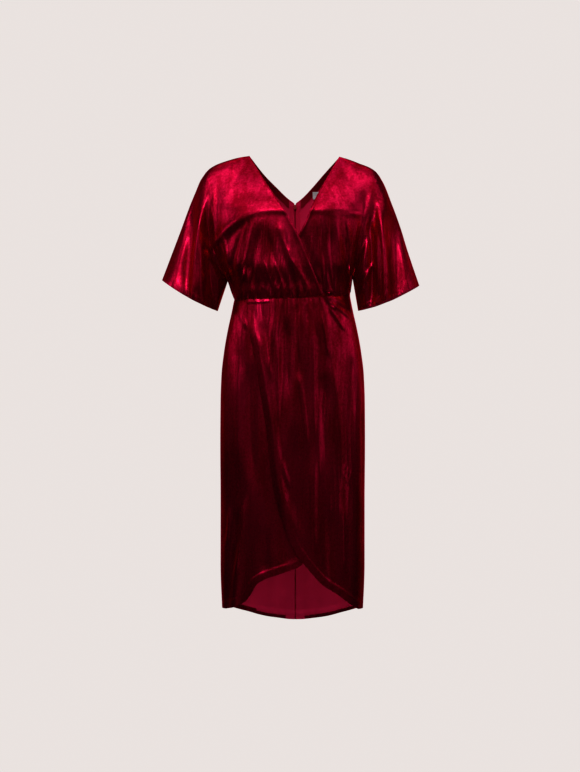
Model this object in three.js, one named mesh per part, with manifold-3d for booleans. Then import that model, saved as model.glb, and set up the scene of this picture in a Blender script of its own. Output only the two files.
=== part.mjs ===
// A knee-length wrap dress in stretch velvet, filled out as it hangs on a wearer.
// Millimetres, +Z up, the front faces -Y. The wearer's right is at -X.
// The origin lies between the two shoulders, at the height where the shoulder seams rest on them.
import * as THREE from "three";
import Module from "manifold-3d";

// Driving sizes
const CLOTH = 1.2;
const SEAM_GAP = 0.3;
// Where one front lies under the other it is set back by a depth, over a run from the upper one's edge
const LAP_DEPTH = 5;
const LAP_RUN = 26;
const SLEEVE_LENGTH = 250;
const TAPE = { width: 13, thickness: 0.9, gap: 0.5, top: -97, bottom: -545 };
const FACING = { drop: 23, below: 1.2, from: 14.6, thickness: 0.9, gap: 0.7 };
const LABEL = { left: 46, right: 68, top: -62, bottom: -80, thickness: 0.6, gap: 0.5 };
const NOTCH = { half: 1.9, from: -110, to: -93 };
// The slider rides inside the tapes. Its neck passes between them to a plate outside, whose two
// cheeks carry the pull's pin. rise is the pin's height over the cloth.
const SLIDER = { z: -99, width: 7, height: 11, depth: 2.6, neck: 1.4, plate: 1, rise: 3.4, pin: 0.5 };
const CHEEK = { gap: 0.4, thickness: 0.8, half: 1.3, top: 0.9 };
const PULL = { length: 16, width: 4.6, neck: 2.2, thickness: 1, barrel: 1.15, bore: 0.7, widens: 3 };

// How many steps each stretch of a panel is cut into: across the neck, yoke, side and sleeve, and down
const STEPS = { overNeck: 46, underNeck: 26, backNeck: 11, yoke: 6, side: 4, sleeve: 11, down: 13 };
const SKIRT_STEPS = { over: 40, under: 18, back: 11, down: 18 };

const VELVET = { color: 0x7a0420, roughness: 0.55, metalness: 0.1 };
const FACING_VELVET = { color: 0x5a0318, roughness: 0.6, metalness: 0.05 };
const ZIP_TAPE = { color: 0x6a0a24, roughness: 0.8, metalness: 0 };
const ZIP_METAL = { color: 0x8a1028, roughness: 0.35, metalness: 0.7 };
const SATIN_WHITE = { color: 0xe8ecee, roughness: 0.5, metalness: 0 };

const clamp01 = (v) => Math.min(1, Math.max(0, v));
const mix = (a, b, k) => a + (b - a) * k;
const smooth = (from, to, v) => {
  const k = clamp01((v - from) / (to - from));
  return k * k * (3 - 2 * k);
};

// A smooth curve through a table's rows: reads one column against another.
function reader(rows, key, value) {
  const sorted = [...rows].sort((a, b) => a[key] - b[key]);
  return (at) => {
    const last = sorted.length - 1;
    if (at <= sorted[0][key]) return sorted[0][value];
    if (at >= sorted[last][key]) return sorted[last][value];
    let i = 0;
    while (sorted[i + 1][key] < at) i++;
    const [a, b] = [sorted[i], sorted[i + 1]];
    const span = b[key] - a[key];
    const rise = (b[value] - a[value]) / span;
    const before = i > 0 ? (a[value] - sorted[i - 1][value]) / (a[key] - sorted[i - 1][key]) : rise;
    const after = i + 2 <= last ? (sorted[i + 2][value] - b[value]) / (sorted[i + 2][key] - b[key]) : rise;
    const slopeOf = (p, q) => (p * q <= 0 ? 0 : (2 * p * q) / (p + q));
    const [m0, m1] = [i > 0 ? slopeOf(before, rise) : rise, i + 2 <= last ? slopeOf(rise, after) : rise];
    const k = (at - a[key]) / span;
    const h = 1 - k;
    const start = a[value] * (1 + 2 * k) * h * h + m0 * span * k * h * h;
    const end = b[value] * (1 + 2 * h) * k * k - m1 * span * k * k * h;
    return start + end;
  };
}

// A smooth line in the front view through a table of x and z, read by its share of length.
function line(rows) {
  const points = rows.map(({ x, z }) => new THREE.Vector3(x, 0, z));
  const curve = points.length > 2 ? new THREE.CatmullRomCurve3(points, false, "centripetal") : null;
  return (share) => {
    const k = clamp01(share);
    if (!curve) return { x: mix(rows[0].x, rows[1].x, k), z: mix(rows[0].z, rows[1].z, k) };
    const p = curve.getPointAt(k);
    return { x: p.x, z: p.z };
  };
}

// The figure in profile: depth in front of and behind the side seams, and its posture
const TORSO = [
  { z: 25, front: 26, back: 26, lean: 10 },
  { z: -20, front: 56, back: 62, lean: 9 },
  { z: -80, front: 89, back: 88, lean: 6 },
  { z: -126, front: 111, back: 97, lean: 3 },
  { z: -150, front: 114, back: 98, lean: 1 },
  { z: -205, front: 114, back: 97, lean: -2 },
  { z: -260, front: 109, back: 89, lean: -4 },
  { z: -310, front: 97, back: 81, lean: -5 },
  { z: -345, front: 90, back: 79, lean: -5 },
];
const SKIRT = [
  { z: -335, width: 144, front: 90, back: 79, lean: -5 },
  { z: -375, width: 152, front: 95, back: 88, lean: -4 },
  { z: -415, width: 161, front: 99, back: 99, lean: -2 },
  { z: -470, width: 171, front: 103, back: 113, lean: 1 },
  { z: -530, width: 178, front: 105, back: 123, lean: 3 },
  { z: -600, width: 180.5, front: 105, back: 126, lean: 4 },
  { z: -700, width: 181, front: 103, back: 121, lean: 3 },
  { z: -850, width: 180, front: 99, back: 112, lean: 1 },
  { z: -1000, width: 180, front: 96, back: 107, lean: 0 },
  { z: -1110, width: 176, front: 95, back: 106, lean: 0 },
  { z: -1160, width: 172, front: 95, back: 106, lean: 0 },
];
const frontDepth = reader(TORSO, "z", "front");
const backDepth = reader(TORSO, "z", "back");
const skirtWidth = reader(SKIRT, "z", "width");
const skirtFront = reader(SKIRT, "z", "front");
const skirtBack = reader(SKIRT, "z", "back");
const leanOf = reader([...TORSO.slice(0, -1), ...SKIRT], "z", "lean");
const SECTION_POWER = 2.3;
const SHOULDER_ROUND = 105;
const BUST = { x: 74, z: -178, reach: 58, height: 7 };

// The waist seam's height across the dress, the same in front and behind
const waistZ = reader(
  [
    { x: -145, z: -344 },
    { x: -70, z: -344 },
    { x: 0, z: -343 },
    { x: 75, z: -341 },
    { x: 120, z: -335 },
    { x: 146, z: -327 },
  ],
  "x",
  "z",
);

// Each side's outline in the front view, from the neck over the shoulder and down the sleeve,
// the seam under the arm and down the side, and the armhole line where sleeve and body part.
const RIGHT_SIDE = {
  sign: -1,
  shoulder: [
    { x: -109, z: 20 },
    { x: -134, z: 16 },
    { x: -164, z: 8 },
    { x: -192, z: -2 },
    { x: -209, z: -12 },
    { x: -219, z: -22 },
  ],
  overarm: [
    { x: -219, z: -22 },
    { x: -232, z: -42 },
    { x: -242, z: -66 },
    { x: -257, z: -102 },
    { x: -282, z: -172 },
    { x: -297, z: -212 },
    { x: -327, z: -292 },
  ],
  side: [
    { x: -144, z: -344 },
    { x: -145.5, z: -324 },
    { x: -150, z: -302 },
    { x: -159, z: -285 },
  ],
  underarm: [
    { x: -159, z: -285 },
    { x: -188, z: -370 },
  ],
  armhole: [
    { x: -219, z: -22 },
    { x: -203, z: -66 },
    { x: -197, z: -140 },
    { x: -194, z: -215 },
    { x: -180, z: -262 },
    { x: -159, z: -285 },
  ],
  cuffDrop: 7,
  cuffFront: 60,
  sleeveRun: 64,
  webTop: 78,
  webFoot: 36,
};
const LEFT_SIDE = {
  sign: 1,
  shoulder: [
    { x: 117, z: 16 },
    { x: 142, z: 8 },
    { x: 167, z: -2 },
    { x: 192, z: -12 },
    { x: 207, z: -22 },
    { x: 217, z: -34 },
  ],
  overarm: [
    { x: 217, z: -34 },
    { x: 230, z: -58 },
    { x: 247, z: -102 },
    { x: 259, z: -134 },
    { x: 272, z: -172 },
    { x: 284, z: -212 },
    { x: 297, z: -252 },
    { x: 316, z: -308 },
  ],
  side: [
    { x: 144, z: -327 },
    { x: 143.5, z: -316 },
    { x: 145.5, z: -302 },
    { x: 150, z: -288 },
  ],
  underarm: [
    { x: 150, z: -288 },
    { x: 164, z: -370 },
  ],
  armhole: [
    { x: 217, z: -34 },
    { x: 200, z: -76 },
    { x: 184, z: -135 },
    { x: 172, z: -196 },
    { x: 162, z: -245 },
    { x: 150, z: -288 },
  ],
  cuffDrop: 6,
  cuffFront: 60,
  sleeveRun: 66,
  webTop: 70,
  webFoot: 42,
};

// The free edges, front view: each bodice front's neck edge from the waist up to the shoulder,
// and the skirt over panel's edge and hem from the waist round to the side seam
const OVER_NECK = [
  { x: 81.5, z: -333 },
  { x: 65, z: -293 },
  { x: 44, z: -242 },
  { x: 22, z: -189 },
  { x: -10, z: -131 },
  { x: -38, z: -90 },
  { x: -76, z: -33 },
  { x: -109, z: 20 },
];
const UNDER_NECK = [
  { x: -66, z: -334 },
  { x: -40, z: -290 },
  { x: -8, z: -240 },
  { x: 22, z: -189 },
  { x: 38, z: -160 },
  { x: 63, z: -98 },
  { x: 90, z: -40 },
  { x: 117, z: 16 },
];
const BACK_NECK = [
  { x: 0, z: -92 },
  { x: 20, z: -77 },
  { x: 46, z: -52 },
  { x: 76, z: -22 },
  { x: 112, z: 18 },
];
const OVER_EDGE = [
  { x: -108, z: -344 },
  { x: -105, z: -401 },
  { x: -92, z: -463 },
  { x: -75, z: -561 },
  { x: -57, z: -667 },
  { x: -48, z: -755 },
  { x: -36, z: -830 },
  { x: -12, z: -909 },
  { x: 7, z: -953 },
  { x: 32, z: -989 },
  { x: 78, z: -1042 },
  { x: 118, z: -1070 },
  { x: 152, z: -1098 },
  { x: 166, z: -1108 },
];
const UNDER_EDGE = [
  { x: 108, z: -336 },
  { x: 100, z: -463 },
  { x: 82, z: -667 },
  { x: 62, z: -880 },
  { x: 29, z: -995 },
  { x: 1, z: -1008 },
  { x: -32, z: -1020 },
  { x: -62, z: -1031 },
  { x: -82, z: -1044 },
  { x: -95, z: -1066 },
  { x: -110, z: -1086 },
  { x: -138, z: -1101 },
  { x: -162, z: -1109 },
];
const SIDE_HEM = -1110;
const BACK_HEM = -1155;
const overEdgeX = reader(OVER_EDGE, "z", "x");
const overNeckX = reader(OVER_NECK, "z", "x");

// Folds, front view: each is a ridge from its foot towards its head, dying away at the head
const OVER_FOLDS = [
  { foot: -134, footZ: -340, head: -92, headZ: -140, wide: 13, high: 8 },
  { foot: -112, footZ: -344, head: -84, headZ: -190, wide: 8, high: 5 },
  { foot: -90, footZ: -344, head: -70, headZ: -205, wide: 7, high: 5 },
  { foot: -68, footZ: -344, head: -62, headZ: -225, wide: 6, high: 4.5 },
  { foot: -48, footZ: -344, head: -58, headZ: -238, wide: 6, high: 5.5 },
  { foot: -30, footZ: -344, head: -52, headZ: -235, wide: 6, high: 4.5 },
  { foot: -11, footZ: -343, head: -50, headZ: -228, wide: 6, high: 6 },
  { foot: 8, footZ: -343, head: -30, headZ: -235, wide: 6, high: 4.5 },
  { foot: 27, footZ: -342, head: -28, headZ: -160, wide: 7, high: 7 },
  { foot: 46, footZ: -342, head: 10, headZ: -238, wide: 6, high: 4.5 },
];
const UNDER_FOLDS = [
  { foot: 98, footZ: -339, head: 82, headZ: -255, wide: 6, high: 4.5 },
  { foot: 114, footZ: -337, head: 104, headZ: -235, wide: 7, high: 5.5 },
  { foot: 132, footZ: -332, head: 108, headZ: -165, wide: 10, high: 7 },
];
const BACK_FOLDS = [
  { foot: 34, footZ: -343, head: 46, headZ: -250, wide: 11, high: 4.5 },
  { foot: 64, footZ: -342, head: 78, headZ: -225, wide: 11, high: 5 },
  { foot: 94, footZ: -340, head: 108, headZ: -195, wide: 11, high: 6 },
  { foot: 114, footZ: -338, head: 130, headZ: -170, wide: 10, high: 4 },
];
const SKIRT_FOLDS = [
  { foot: -84, footZ: -344, head: -72, headZ: -430, wide: 6, high: 3 },
  { foot: -62, footZ: -344, head: -60, headZ: -440, wide: 6, high: 3.5 },
  { foot: -40, footZ: -344, head: -56, headZ: -560, wide: 7, high: 6 },
  { foot: -22, footZ: -344, head: -30, headZ: -730, wide: 7, high: 5.5 },
  { foot: -2, footZ: -343, head: 4, headZ: -450, wide: 6, high: 4 },
  { foot: 22, footZ: -343, head: 36, headZ: -600, wide: 8, high: 6.5 },
  { foot: 42, footZ: -342, head: 62, headZ: -570, wide: 7, high: 5 },
  { foot: 59, footZ: -341, head: 74, headZ: -480, wide: 6, high: 4.5 },
  { foot: 75, footZ: -340, head: 96, headZ: -500, wide: 7, high: 6 },
  { foot: 88, footZ: -339, head: 136, headZ: -430, wide: 7, high: 6 },
  { foot: 97, footZ: -338, head: 158, headZ: -398, wide: 7, high: 6 },
];
const LOWER_FOLDS = [
  { foot: -142, footZ: -1110, head: -112, headZ: -800, wide: 11, high: 8 },
  { foot: -172, footZ: -1110, head: -158, headZ: -830, wide: 9, high: 5 },
];
// Sleeve folds run down the sleeve: across is the share from the overarm seam to the underarm
// seam at the shoulder and at the cuff, and high is how far the ridge stands out
const SLEEVE_FOLDS = {
  right: [
    { top: 0.2, cuff: 0.6, wide: 0.075, high: 13 },
    { top: 0.1, cuff: 0.2, wide: 0.09, high: 5 },
  ],
  left: [
    { top: 0.14, cuff: 0.52, wide: 0.06, high: 12 },
    { top: 0.3, cuff: 0.72, wide: 0.06, high: 8 },
    { top: 0.05, cuff: 0.12, wide: 0.07, high: 6 },
  ],
  back: [
    { top: 0.2, cuff: 0.4, wide: 0.08, high: 9 },
    { top: 0.32, cuff: 0.68, wide: 0.08, high: 8 },
  ],
};

// A fold widens by spread towards its head, and from a share of its length on it dies away
const FOLD = { spread: 0.9, fadesFrom: 0.25, startsBefore: -0.3 };
function foldHeight(folds, x, z) {
  let height = 0;
  for (const f of folds) {
    const [dx, dz] = [f.head - f.foot, f.headZ - f.footZ];
    const length = Math.hypot(dx, dz);
    const along = ((x - f.foot) * dx + (z - f.footZ) * dz) / length ** 2;
    const off = ((x - f.foot) * dz - (z - f.footZ) * dx) / length;
    const width = f.wide * (1 + FOLD.spread * clamp01(along));
    const fade = (1 - smooth(FOLD.fadesFrom, 1, along)) * smooth(FOLD.startsBefore, 0, along);
    height += f.high * fade * Math.exp(-((off / width) ** 2));
  }
  return height;
}

// The larger of two depths, rounded over where they meet
const softMax = (a, b, k) => {
  const h = clamp01(0.5 + (0.5 * (a - b)) / k);
  return mix(b, a, h) + k * h * (1 - h);
};

// Above the underarm the body runs on a little way under the sleeve, and near the shoulder it is as
// wide as the shoulder line
const UNDER_SLEEVE = { wider: 8, reach: 32 };
const SHOULDER_FROM = -100;
const SHOULDER_TO = -50;

// Half the body's width at a height, on one side, between the armhole line and the side seam
function halfWidthOf(side) {
  const armhole = line(side.armhole);
  const seam = line(side.side);
  const rows = [];
  const SAMPLES = 24;
  for (let i = 0; i <= SAMPLES; i++) rows.push(armhole(i / SAMPLES));
  for (let i = SAMPLES - 1; i >= 0; i--) rows.push(seam(i / SAMPLES));
  const width = reader(rows, "z", "x");
  const topX = side.shoulder[side.shoulder.length - 1].x;
  const underarm = side.armhole[side.armhole.length - 1].z;
  const fuller = (z) => UNDER_SLEEVE.wider * smooth(underarm + 2, underarm + UNDER_SLEEVE.reach, z);
  return (z) => Math.abs(mix(width(z), topX, smooth(SHOULDER_FROM, SHOULDER_TO, z))) + fuller(z);
}
const halfWidth = { left: halfWidthOf(LEFT_SIDE), right: halfWidthOf(RIGHT_SIDE) };

// How a panel's columns are laid: the share of the shoulder over the yoke, how far the armhole's bend
// reaches into body and sleeve, and where the points crowd towards the ends of a column
const LAY = { yokeShare: 0.58, bendInSleeve: 0.45, crowd: 0.6, roundFrom: 0.35, cuffLean: 0.35 };
// The cloth under the arm leaves the body from one share down its columns to the other
const UNDER_ARM = { from: 0.6, to: 0.82 };

// A bodice panel's front view: each column runs from the neck, shoulder or overarm line
// down to the waist, side or underarm line. Columns are counted through four stretches.
function bodiceColumns(side, neckRows, neckSteps) {
  const neck = line(neckRows);
  const shoulder = line(side.shoulder);
  const overarm = line(side.overarm);
  const sideSeam = line(side.side);
  const underarm = line(side.underarm);
  const armhole = line(side.armhole);
  const neckFoot = neckRows[0].x;
  const yokeFoot = side.shoulder[0].x;
  const corner = side.side[0].x;
  const rounded = (q) => Math.sin((q * Math.PI) / 2);
  const stretches = [
    { steps: neckSteps, top: neck, foot: (q) => ({ x: mix(neckFoot, yokeFoot, q) }) },
    {
      steps: STEPS.yoke,
      top: (q) => shoulder(q * LAY.yokeShare),
      foot: (q) => ({ x: mix(yokeFoot, corner, rounded(q)) }),
    },
    { steps: STEPS.side, top: (q) => shoulder(mix(LAY.yokeShare, 1, q)), foot: sideSeam },
    { steps: STEPS.sleeve, top: overarm, foot: underarm },
  ];
  const ends = stretches.map((s, i) => stretches.slice(0, i + 1).reduce((n, r) => n + r.steps, 0));
  const border = ends[2];
  const chordTop = shoulder(1);
  const chordFoot = sideSeam(1);
  return {
    total: ends[3],
    // column is a number from 0 to total, t runs from 0 at the top line to 1 at the foot line
    at(column, t) {
      const k = ends.findIndex((end) => column <= end);
      const q = (column - (k ? ends[k - 1] : 0)) / stretches[k].steps;
      const top = stretches[k].top(q);
      const foot = { ...stretches[k].foot(q) };
      if (foot.z === undefined) foot.z = waistZ(foot.x);
      const roundTop = smooth(LAY.roundFrom, 1, column / ends[0]);
      const roundFoot = smooth(ends[0], ends[1], column);
      const late = Math.sin((Math.PI * t) / 2);
      const both = (1 - Math.cos(Math.PI * t)) / 2;
      const share = mix(mix(mix(t, late, LAY.crowd), late, roundFoot), both, roundTop);
      const past = column - border;
      const reach = past < 0 ? past / (STEPS.side + 1) : past / (STEPS.sleeve * LAY.bendInSleeve);
      const bend = Math.exp(-reach * reach);
      const bent = armhole(share);
      const straight = { x: mix(chordTop.x, chordFoot.x, share), z: mix(chordTop.z, chordFoot.z, share) };
      const along = Math.max(0, past / STEPS.sleeve);
      const drop = side.cuffDrop * Math.sin(Math.PI * share) * along ** 4;
      const z = mix(top.z, foot.z, share) + bend * (bent.z - straight.z) - drop;
      const x = mix(top.x, foot.x, share) + bend * (bent.x - straight.x) - side.sign * drop * LAY.cuffLean;
      return {
        x,
        z,
        share,
        t,
        along,
        inSleeve: past > 0,
        underArm: smooth(ends[1] - 1, ends[1] + 2, column) * smooth(UNDER_ARM.from, UNDER_ARM.to, t),
      };
    },
  };
}

const shoulderTop = {
  left: reader(LEFT_SIDE.shoulder, "x", "z"),
  right: reader(RIGHT_SIDE.shoulder, "x", "z"),
};

// Depth of the filled-out body at a place in the front view
function torsoDepth(x, z, depthAt) {
  const which = x < 0 ? "right" : "left";
  const u = clamp01(Math.abs(x) / halfWidth[which](z));
  const section = (1 - u ** SECTION_POWER) ** (1 / SECTION_POWER);
  const below = clamp01((shoulderTop[which](x) - z) / SHOULDER_ROUND);
  const crown = Math.sqrt(1 - (1 - below) ** 2);
  const far = ((Math.abs(x) - BUST.x) ** 2 + (z - BUST.z) ** 2) / BUST.reach ** 2;
  const bust = depthAt === frontDepth ? BUST.height * Math.exp(-far) : 0;
  return depthAt(z) * section * crown + bust;
}

// The web of cloth that spans from the body to the sleeve: where it begins on the body, how softly
// it meets body and sleeve, how much of it the sleeve loses, and where a sleeve's folds begin
const WEB = { from: 90, to: 150, blend: 10, lost: 0.6, lostBy: 0.5 };
const FOLDS_FROM = 0.3;

// Depth of the bodice and its sleeve, front or back
function bodiceDepth(side, depthAt, spot, sleeveFolds) {
  const ring = Math.sin(Math.PI * spot.t);
  const fade = spot.inSleeve ? 1 : smooth(WEB.from, WEB.to, Math.abs(spot.x));
  const web = ring * mix(side.webTop, side.webFoot, spot.share) * fade;
  if (!spot.inSleeve) {
    return softMax(torsoDepth(spot.x, spot.z, depthAt) * (1 - spot.underArm), web, WEB.blend);
  }
  const rise = clamp01((spot.along * SLEEVE_LENGTH) / side.sleeveRun);
  const tube = side.cuffFront * ring * Math.sqrt(1 - (1 - rise) ** 2);
  let fold = 0;
  for (const f of sleeveFolds) {
    const centre = mix(f.top, f.cuff, spot.along);
    const ridge = Math.exp(-(((spot.share - centre) / f.wide) ** 2));
    fold += f.high * smooth(0, FOLDS_FROM, spot.along) * ring * ridge;
  }
  return softMax(tube, web * (1 - WEB.lost * smooth(0, WEB.lostBy, spot.along)), WEB.blend) + fold;
}

// The bodice blouses over the waist seam, and the skirt stands out a little below it, both fading
// where the cloth turns to the side seams
const BLOUSE = { above: 20, reach: 15, out: 6 };
function blouse(x, z) {
  const up = z - waistZ(x);
  return BLOUSE.out * Math.exp(-(((up - BLOUSE.above) / BLOUSE.reach) ** 2)) * smooth(0, 8, up);
}
const HIP_PUFF = { below: 14, reach: 14, out: 3 };
function puff(x, z) {
  const down = waistZ(x) - z;
  return HIP_PUFF.out * Math.exp(-(((down - HIP_PUFF.below) / HIP_PUFF.reach) ** 2)) * smooth(0, 8, down);
}
const SOFT_DEPTH = 30;

// Where a panel's outer face lies. Each takes a column and a share down, and gives x, y and z.
function frontBodice(side, neckRows, neckSteps, folds, sleeveFolds, lap) {
  const columns = bodiceColumns(side, neckRows, neckSteps);
  const place = (u, t) => {
    const spot = columns.at(u * columns.total, t);
    const { x, z } = spot;
    const base = bodiceDepth(side, frontDepth, spot, sleeveFolds);
    const hidden = spot.inSleeve ? 0 : lap(x, z);
    const out = spot.inSleeve ? 0 : foldHeight(folds, x, z) * (1 - hidden) + blouse(x, z);
    return [x, -(base + out * Math.min(1, base / SOFT_DEPTH) - LAP_DEPTH * hidden), z];
  };
  return { place, across: columns.total };
}
function backBodice(side) {
  const rows = BACK_NECK.map((r) => ({ x: r.x * side.sign, z: r.z }));
  rows[rows.length - 1] = { ...side.shoulder[0] };
  const columns = bodiceColumns(side, rows, STEPS.backNeck);
  const place = (u, t) => {
    const spot = columns.at(u * columns.total, t);
    const { x, z } = spot;
    const base = bodiceDepth(side, backDepth, spot, SLEEVE_FOLDS.back);
    const out = spot.inSleeve ? 0 : foldHeight(BACK_FOLDS, Math.abs(x), z) + blouse(x, z);
    return [x, base + out * Math.min(1, base / SOFT_DEPTH), z];
  };
  return { place, across: columns.total };
}

// A point of the skirt's section at a height: turn runs from 0 at the +X side seam to pi at the -X one
function skirtRing(z, turn, depthAt) {
  const [c, s] = [Math.cos(turn), Math.sin(turn)];
  const power = 2 / SECTION_POWER;
  const x = skirtWidth(z) * Math.sign(c) * Math.abs(c) ** power;
  return { x, depth: depthAt(z) * Math.abs(s) ** power };
}
function turnAt(x, z) {
  const share = Math.min(1, Math.abs(x) / skirtWidth(z));
  return Math.acos(Math.sign(x) * share ** (SECTION_POWER / 2));
}
// Rows lie closer at the waist and the hem, and take up the waist seam's slope over a share of the way
const DOWN_EASE = 1.35;
const downOf = (v) => mix(v ** DOWN_EASE, (1 - Math.cos(Math.PI * v)) / 2, 0.5);
const WAIST_FADE = 0.2;

// A front skirt panel: across runs from its side seam to its free edge, down from waist to hem
function frontSkirt(sign, edgeRows, folds, lap) {
  const edge = line(edgeRows);
  const sideTop = waistZ(sign * skirtWidth(0));
  return (across, v) => {
    const down = downOf(v);
    const end = edge(down);
    const turn = mix(sign > 0 ? 0 : Math.PI, turnAt(end.x, end.z), across);
    const straight = mix(sideTop, edgeRows[0].z, across);
    const atWaist = waistZ(skirtRing(straight, turn, skirtFront).x) - straight;
    const level = mix(mix(sideTop, SIDE_HEM, down), end.z, across);
    const z = level + atWaist * (1 - smooth(0, WAIST_FADE, down));
    const ring = skirtRing(z, turn, skirtFront);
    const hidden = lap(ring.x, z);
    const out = foldHeight(folds, ring.x, z) * (1 - hidden) + puff(ring.x, z);
    return [ring.x, -(ring.depth + out * Math.min(1, ring.depth / SOFT_DEPTH) - LAP_DEPTH * hidden), z];
  };
}
const backHem = (x) => mix(SIDE_HEM, BACK_HEM, 1 - (x / skirtWidth(SIDE_HEM)) ** 2);
const BACK_SKIRT_FOLDS = [
  { foot: 40, footZ: -343, head: 52, headZ: -430, wide: 8, high: 3 },
  { foot: 118, footZ: -1160, head: 96, headZ: -780, wide: 18, high: 6 },
  { foot: 46, footZ: -1160, head: 52, headZ: -820, wide: 18, high: 5 },
];
function backSkirt(sign) {
  return (across, v) => {
    const down = downOf(v);
    const turn = mix(sign > 0 ? 0 : Math.PI, Math.PI / 2, across);
    const guess = skirtRing(mix(SKIRT[0].z, SIDE_HEM, down), turn, skirtBack);
    const z = mix(waistZ(guess.x), backHem(guess.x), down);
    const ring = skirtRing(z, turn, skirtBack);
    const out = foldHeight(BACK_SKIRT_FOLDS, Math.abs(ring.x), z) + puff(ring.x, z);
    return [ring.x, ring.depth + out * Math.min(1, ring.depth / SOFT_DEPTH), z];
  };
}

// A sheet is a grid of points with their outward normals. turn is 1 or -1, for which way it faces.
function sheetOf({ across, down, place, turn }) {
  const points = [];
  for (let i = 0; i <= across; i++) {
    points.push([]);
    for (let j = 0; j <= down; j++) points[i].push(new THREE.Vector3(...place(i / across, j / down)));
  }
  const normals = points.map((column, i) =>
    column.map((p, j) => {
      const du = points[Math.min(across, i + 1)][j].clone().sub(points[Math.max(0, i - 1)][j]);
      const dv = column[Math.min(down, j + 1)].clone().sub(column[Math.max(0, j - 1)]);
      return du.cross(dv).normalize().multiplyScalar(turn);
    }),
  );
  return { across, down, points, normals, turn };
}

// A piece of a sheet: column(u) says which column it follows, z(u, v) how low each point lies
function pieceOf(sheet, { across, down, column, z }) {
  const points = [];
  const normals = [];
  for (let i = 0; i <= across; i++) {
    points.push([]);
    normals.push([]);
    const at = Math.min(sheet.across - 1e-6, column(i / across));
    const whole = Math.floor(at);
    const blend = (key, j) => sheet[key][whole][j].clone().lerp(sheet[key][whole + 1][j], at - whole);
    for (let j = 0; j <= down; j++) {
      const wanted = z(blend("points", 0), i / across, j / down);
      let k = 0;
      while (k < sheet.down - 1 && blend("points", k + 1).z > wanted) k++;
      const [a, b] = [blend("points", k), blend("points", k + 1)];
      const share = (a.z - wanted) / (a.z - b.z);
      points[i].push(a.lerp(b, share));
      normals[i].push(blend("normals", k).lerp(blend("normals", k + 1), share).normalize());
    }
  }
  return { across, down, points, normals, turn: sheet.turn };
}

// A closed wall of cloth on a sheet, set inwards by inset. keep holds it on its side of the seams.
function wall(sheet, { thickness, inset = 0, keep = (p) => p }) {
  const { across, down, points, normals, turn } = sheet;
  const moved = (i, j, depth) => keep(points[i][j].clone().addScaledVector(normals[i][j], -depth));
  const layer = (depth) => points.flatMap((column, i) => column.map((_, j) => moved(i, j, depth)));
  const vertices = [...layer(inset), ...layer(inset + thickness)];
  const rows = down + 1;
  const half = vertices.length / 2;
  const faces = [];
  const quad = (a, b, c, d) => faces.push(a, b, c, a, c, d);
  const id = (i, j, inner) => i * rows + j + inner * half;
  for (let i = 0; i < across; i++) {
    for (let j = 0; j < down; j++) {
      quad(id(i, j, 0), id(i + 1, j, 0), id(i + 1, j + 1, 0), id(i, j + 1, 0));
      quad(id(i, j, 1), id(i, j + 1, 1), id(i + 1, j + 1, 1), id(i + 1, j, 1));
    }
    quad(id(i, 0, 0), id(i, 0, 1), id(i + 1, 0, 1), id(i + 1, 0, 0));
    quad(id(i, down, 0), id(i + 1, down, 0), id(i + 1, down, 1), id(i, down, 1));
  }
  for (let j = 0; j < down; j++) {
    quad(id(0, j, 0), id(0, j + 1, 0), id(0, j + 1, 1), id(0, j, 1));
    quad(id(across, j, 0), id(across, j, 1), id(across, j + 1, 1), id(across, j + 1, 0));
  }
  if (turn < 0) faces.reverse();
  const position = new Float32Array(vertices.flatMap((p) => [p.x, p.y + leanOf(p.z), p.z]));
  const geometry = new THREE.BufferGeometry();
  geometry.setAttribute("position", new THREE.BufferAttribute(position, 3));
  geometry.setIndex(faces);
  geometry.computeVertexNormals();
  return geometry;
}

// The rules that keep each panel on its own side of the seams
const HALF = SEAM_GAP / 2;
const inFront = (p) => p.setY(Math.min(p.y, -HALF));
const behind = (p) => p.setY(Math.max(p.y, HALF));
const WAIST_HALF = 148;
const aboveWaist = (p) => (Math.abs(p.x) < WAIST_HALF ? p.setZ(Math.max(p.z, waistZ(p.x) + HALF)) : p);
const belowWaist = (p) => p.setZ(Math.min(p.z, waistZ(p.x) - HALF));
const notched = (z) => HALF + NOTCH.half * smooth(NOTCH.from, NOTCH.to, z);
const onSide = (sign) => (p) => p.setX(sign * Math.max(sign * p.x, notched(p.z)));
const all = (...rules) => (p) => rules.reduce((q, rule) => rule(q), p);

const dress = new THREE.Group();
function add(name, geometry, finish) {
  const mesh = new THREE.Mesh(geometry, new THREE.MeshStandardMaterial(finish));
  mesh.name = name;
  dress.add(mesh);
}

const noLap = () => 0;
const underNeckLap = (x, z) => 1 - smooth(0, LAP_RUN, x - overNeckX(z));
const underSkirtLap = (x, z) => smooth(-LAP_RUN, 0, x - overEdgeX(z));

const sheets = {};
function addPanels(panels, down) {
  for (const [name, panel] of Object.entries(panels)) {
    sheets[name] = sheetOf({ ...panel, down });
    add(name, wall(sheets[name], { thickness: CLOTH, keep: all(...panel.rules) }), VELVET);
  }
}

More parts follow.
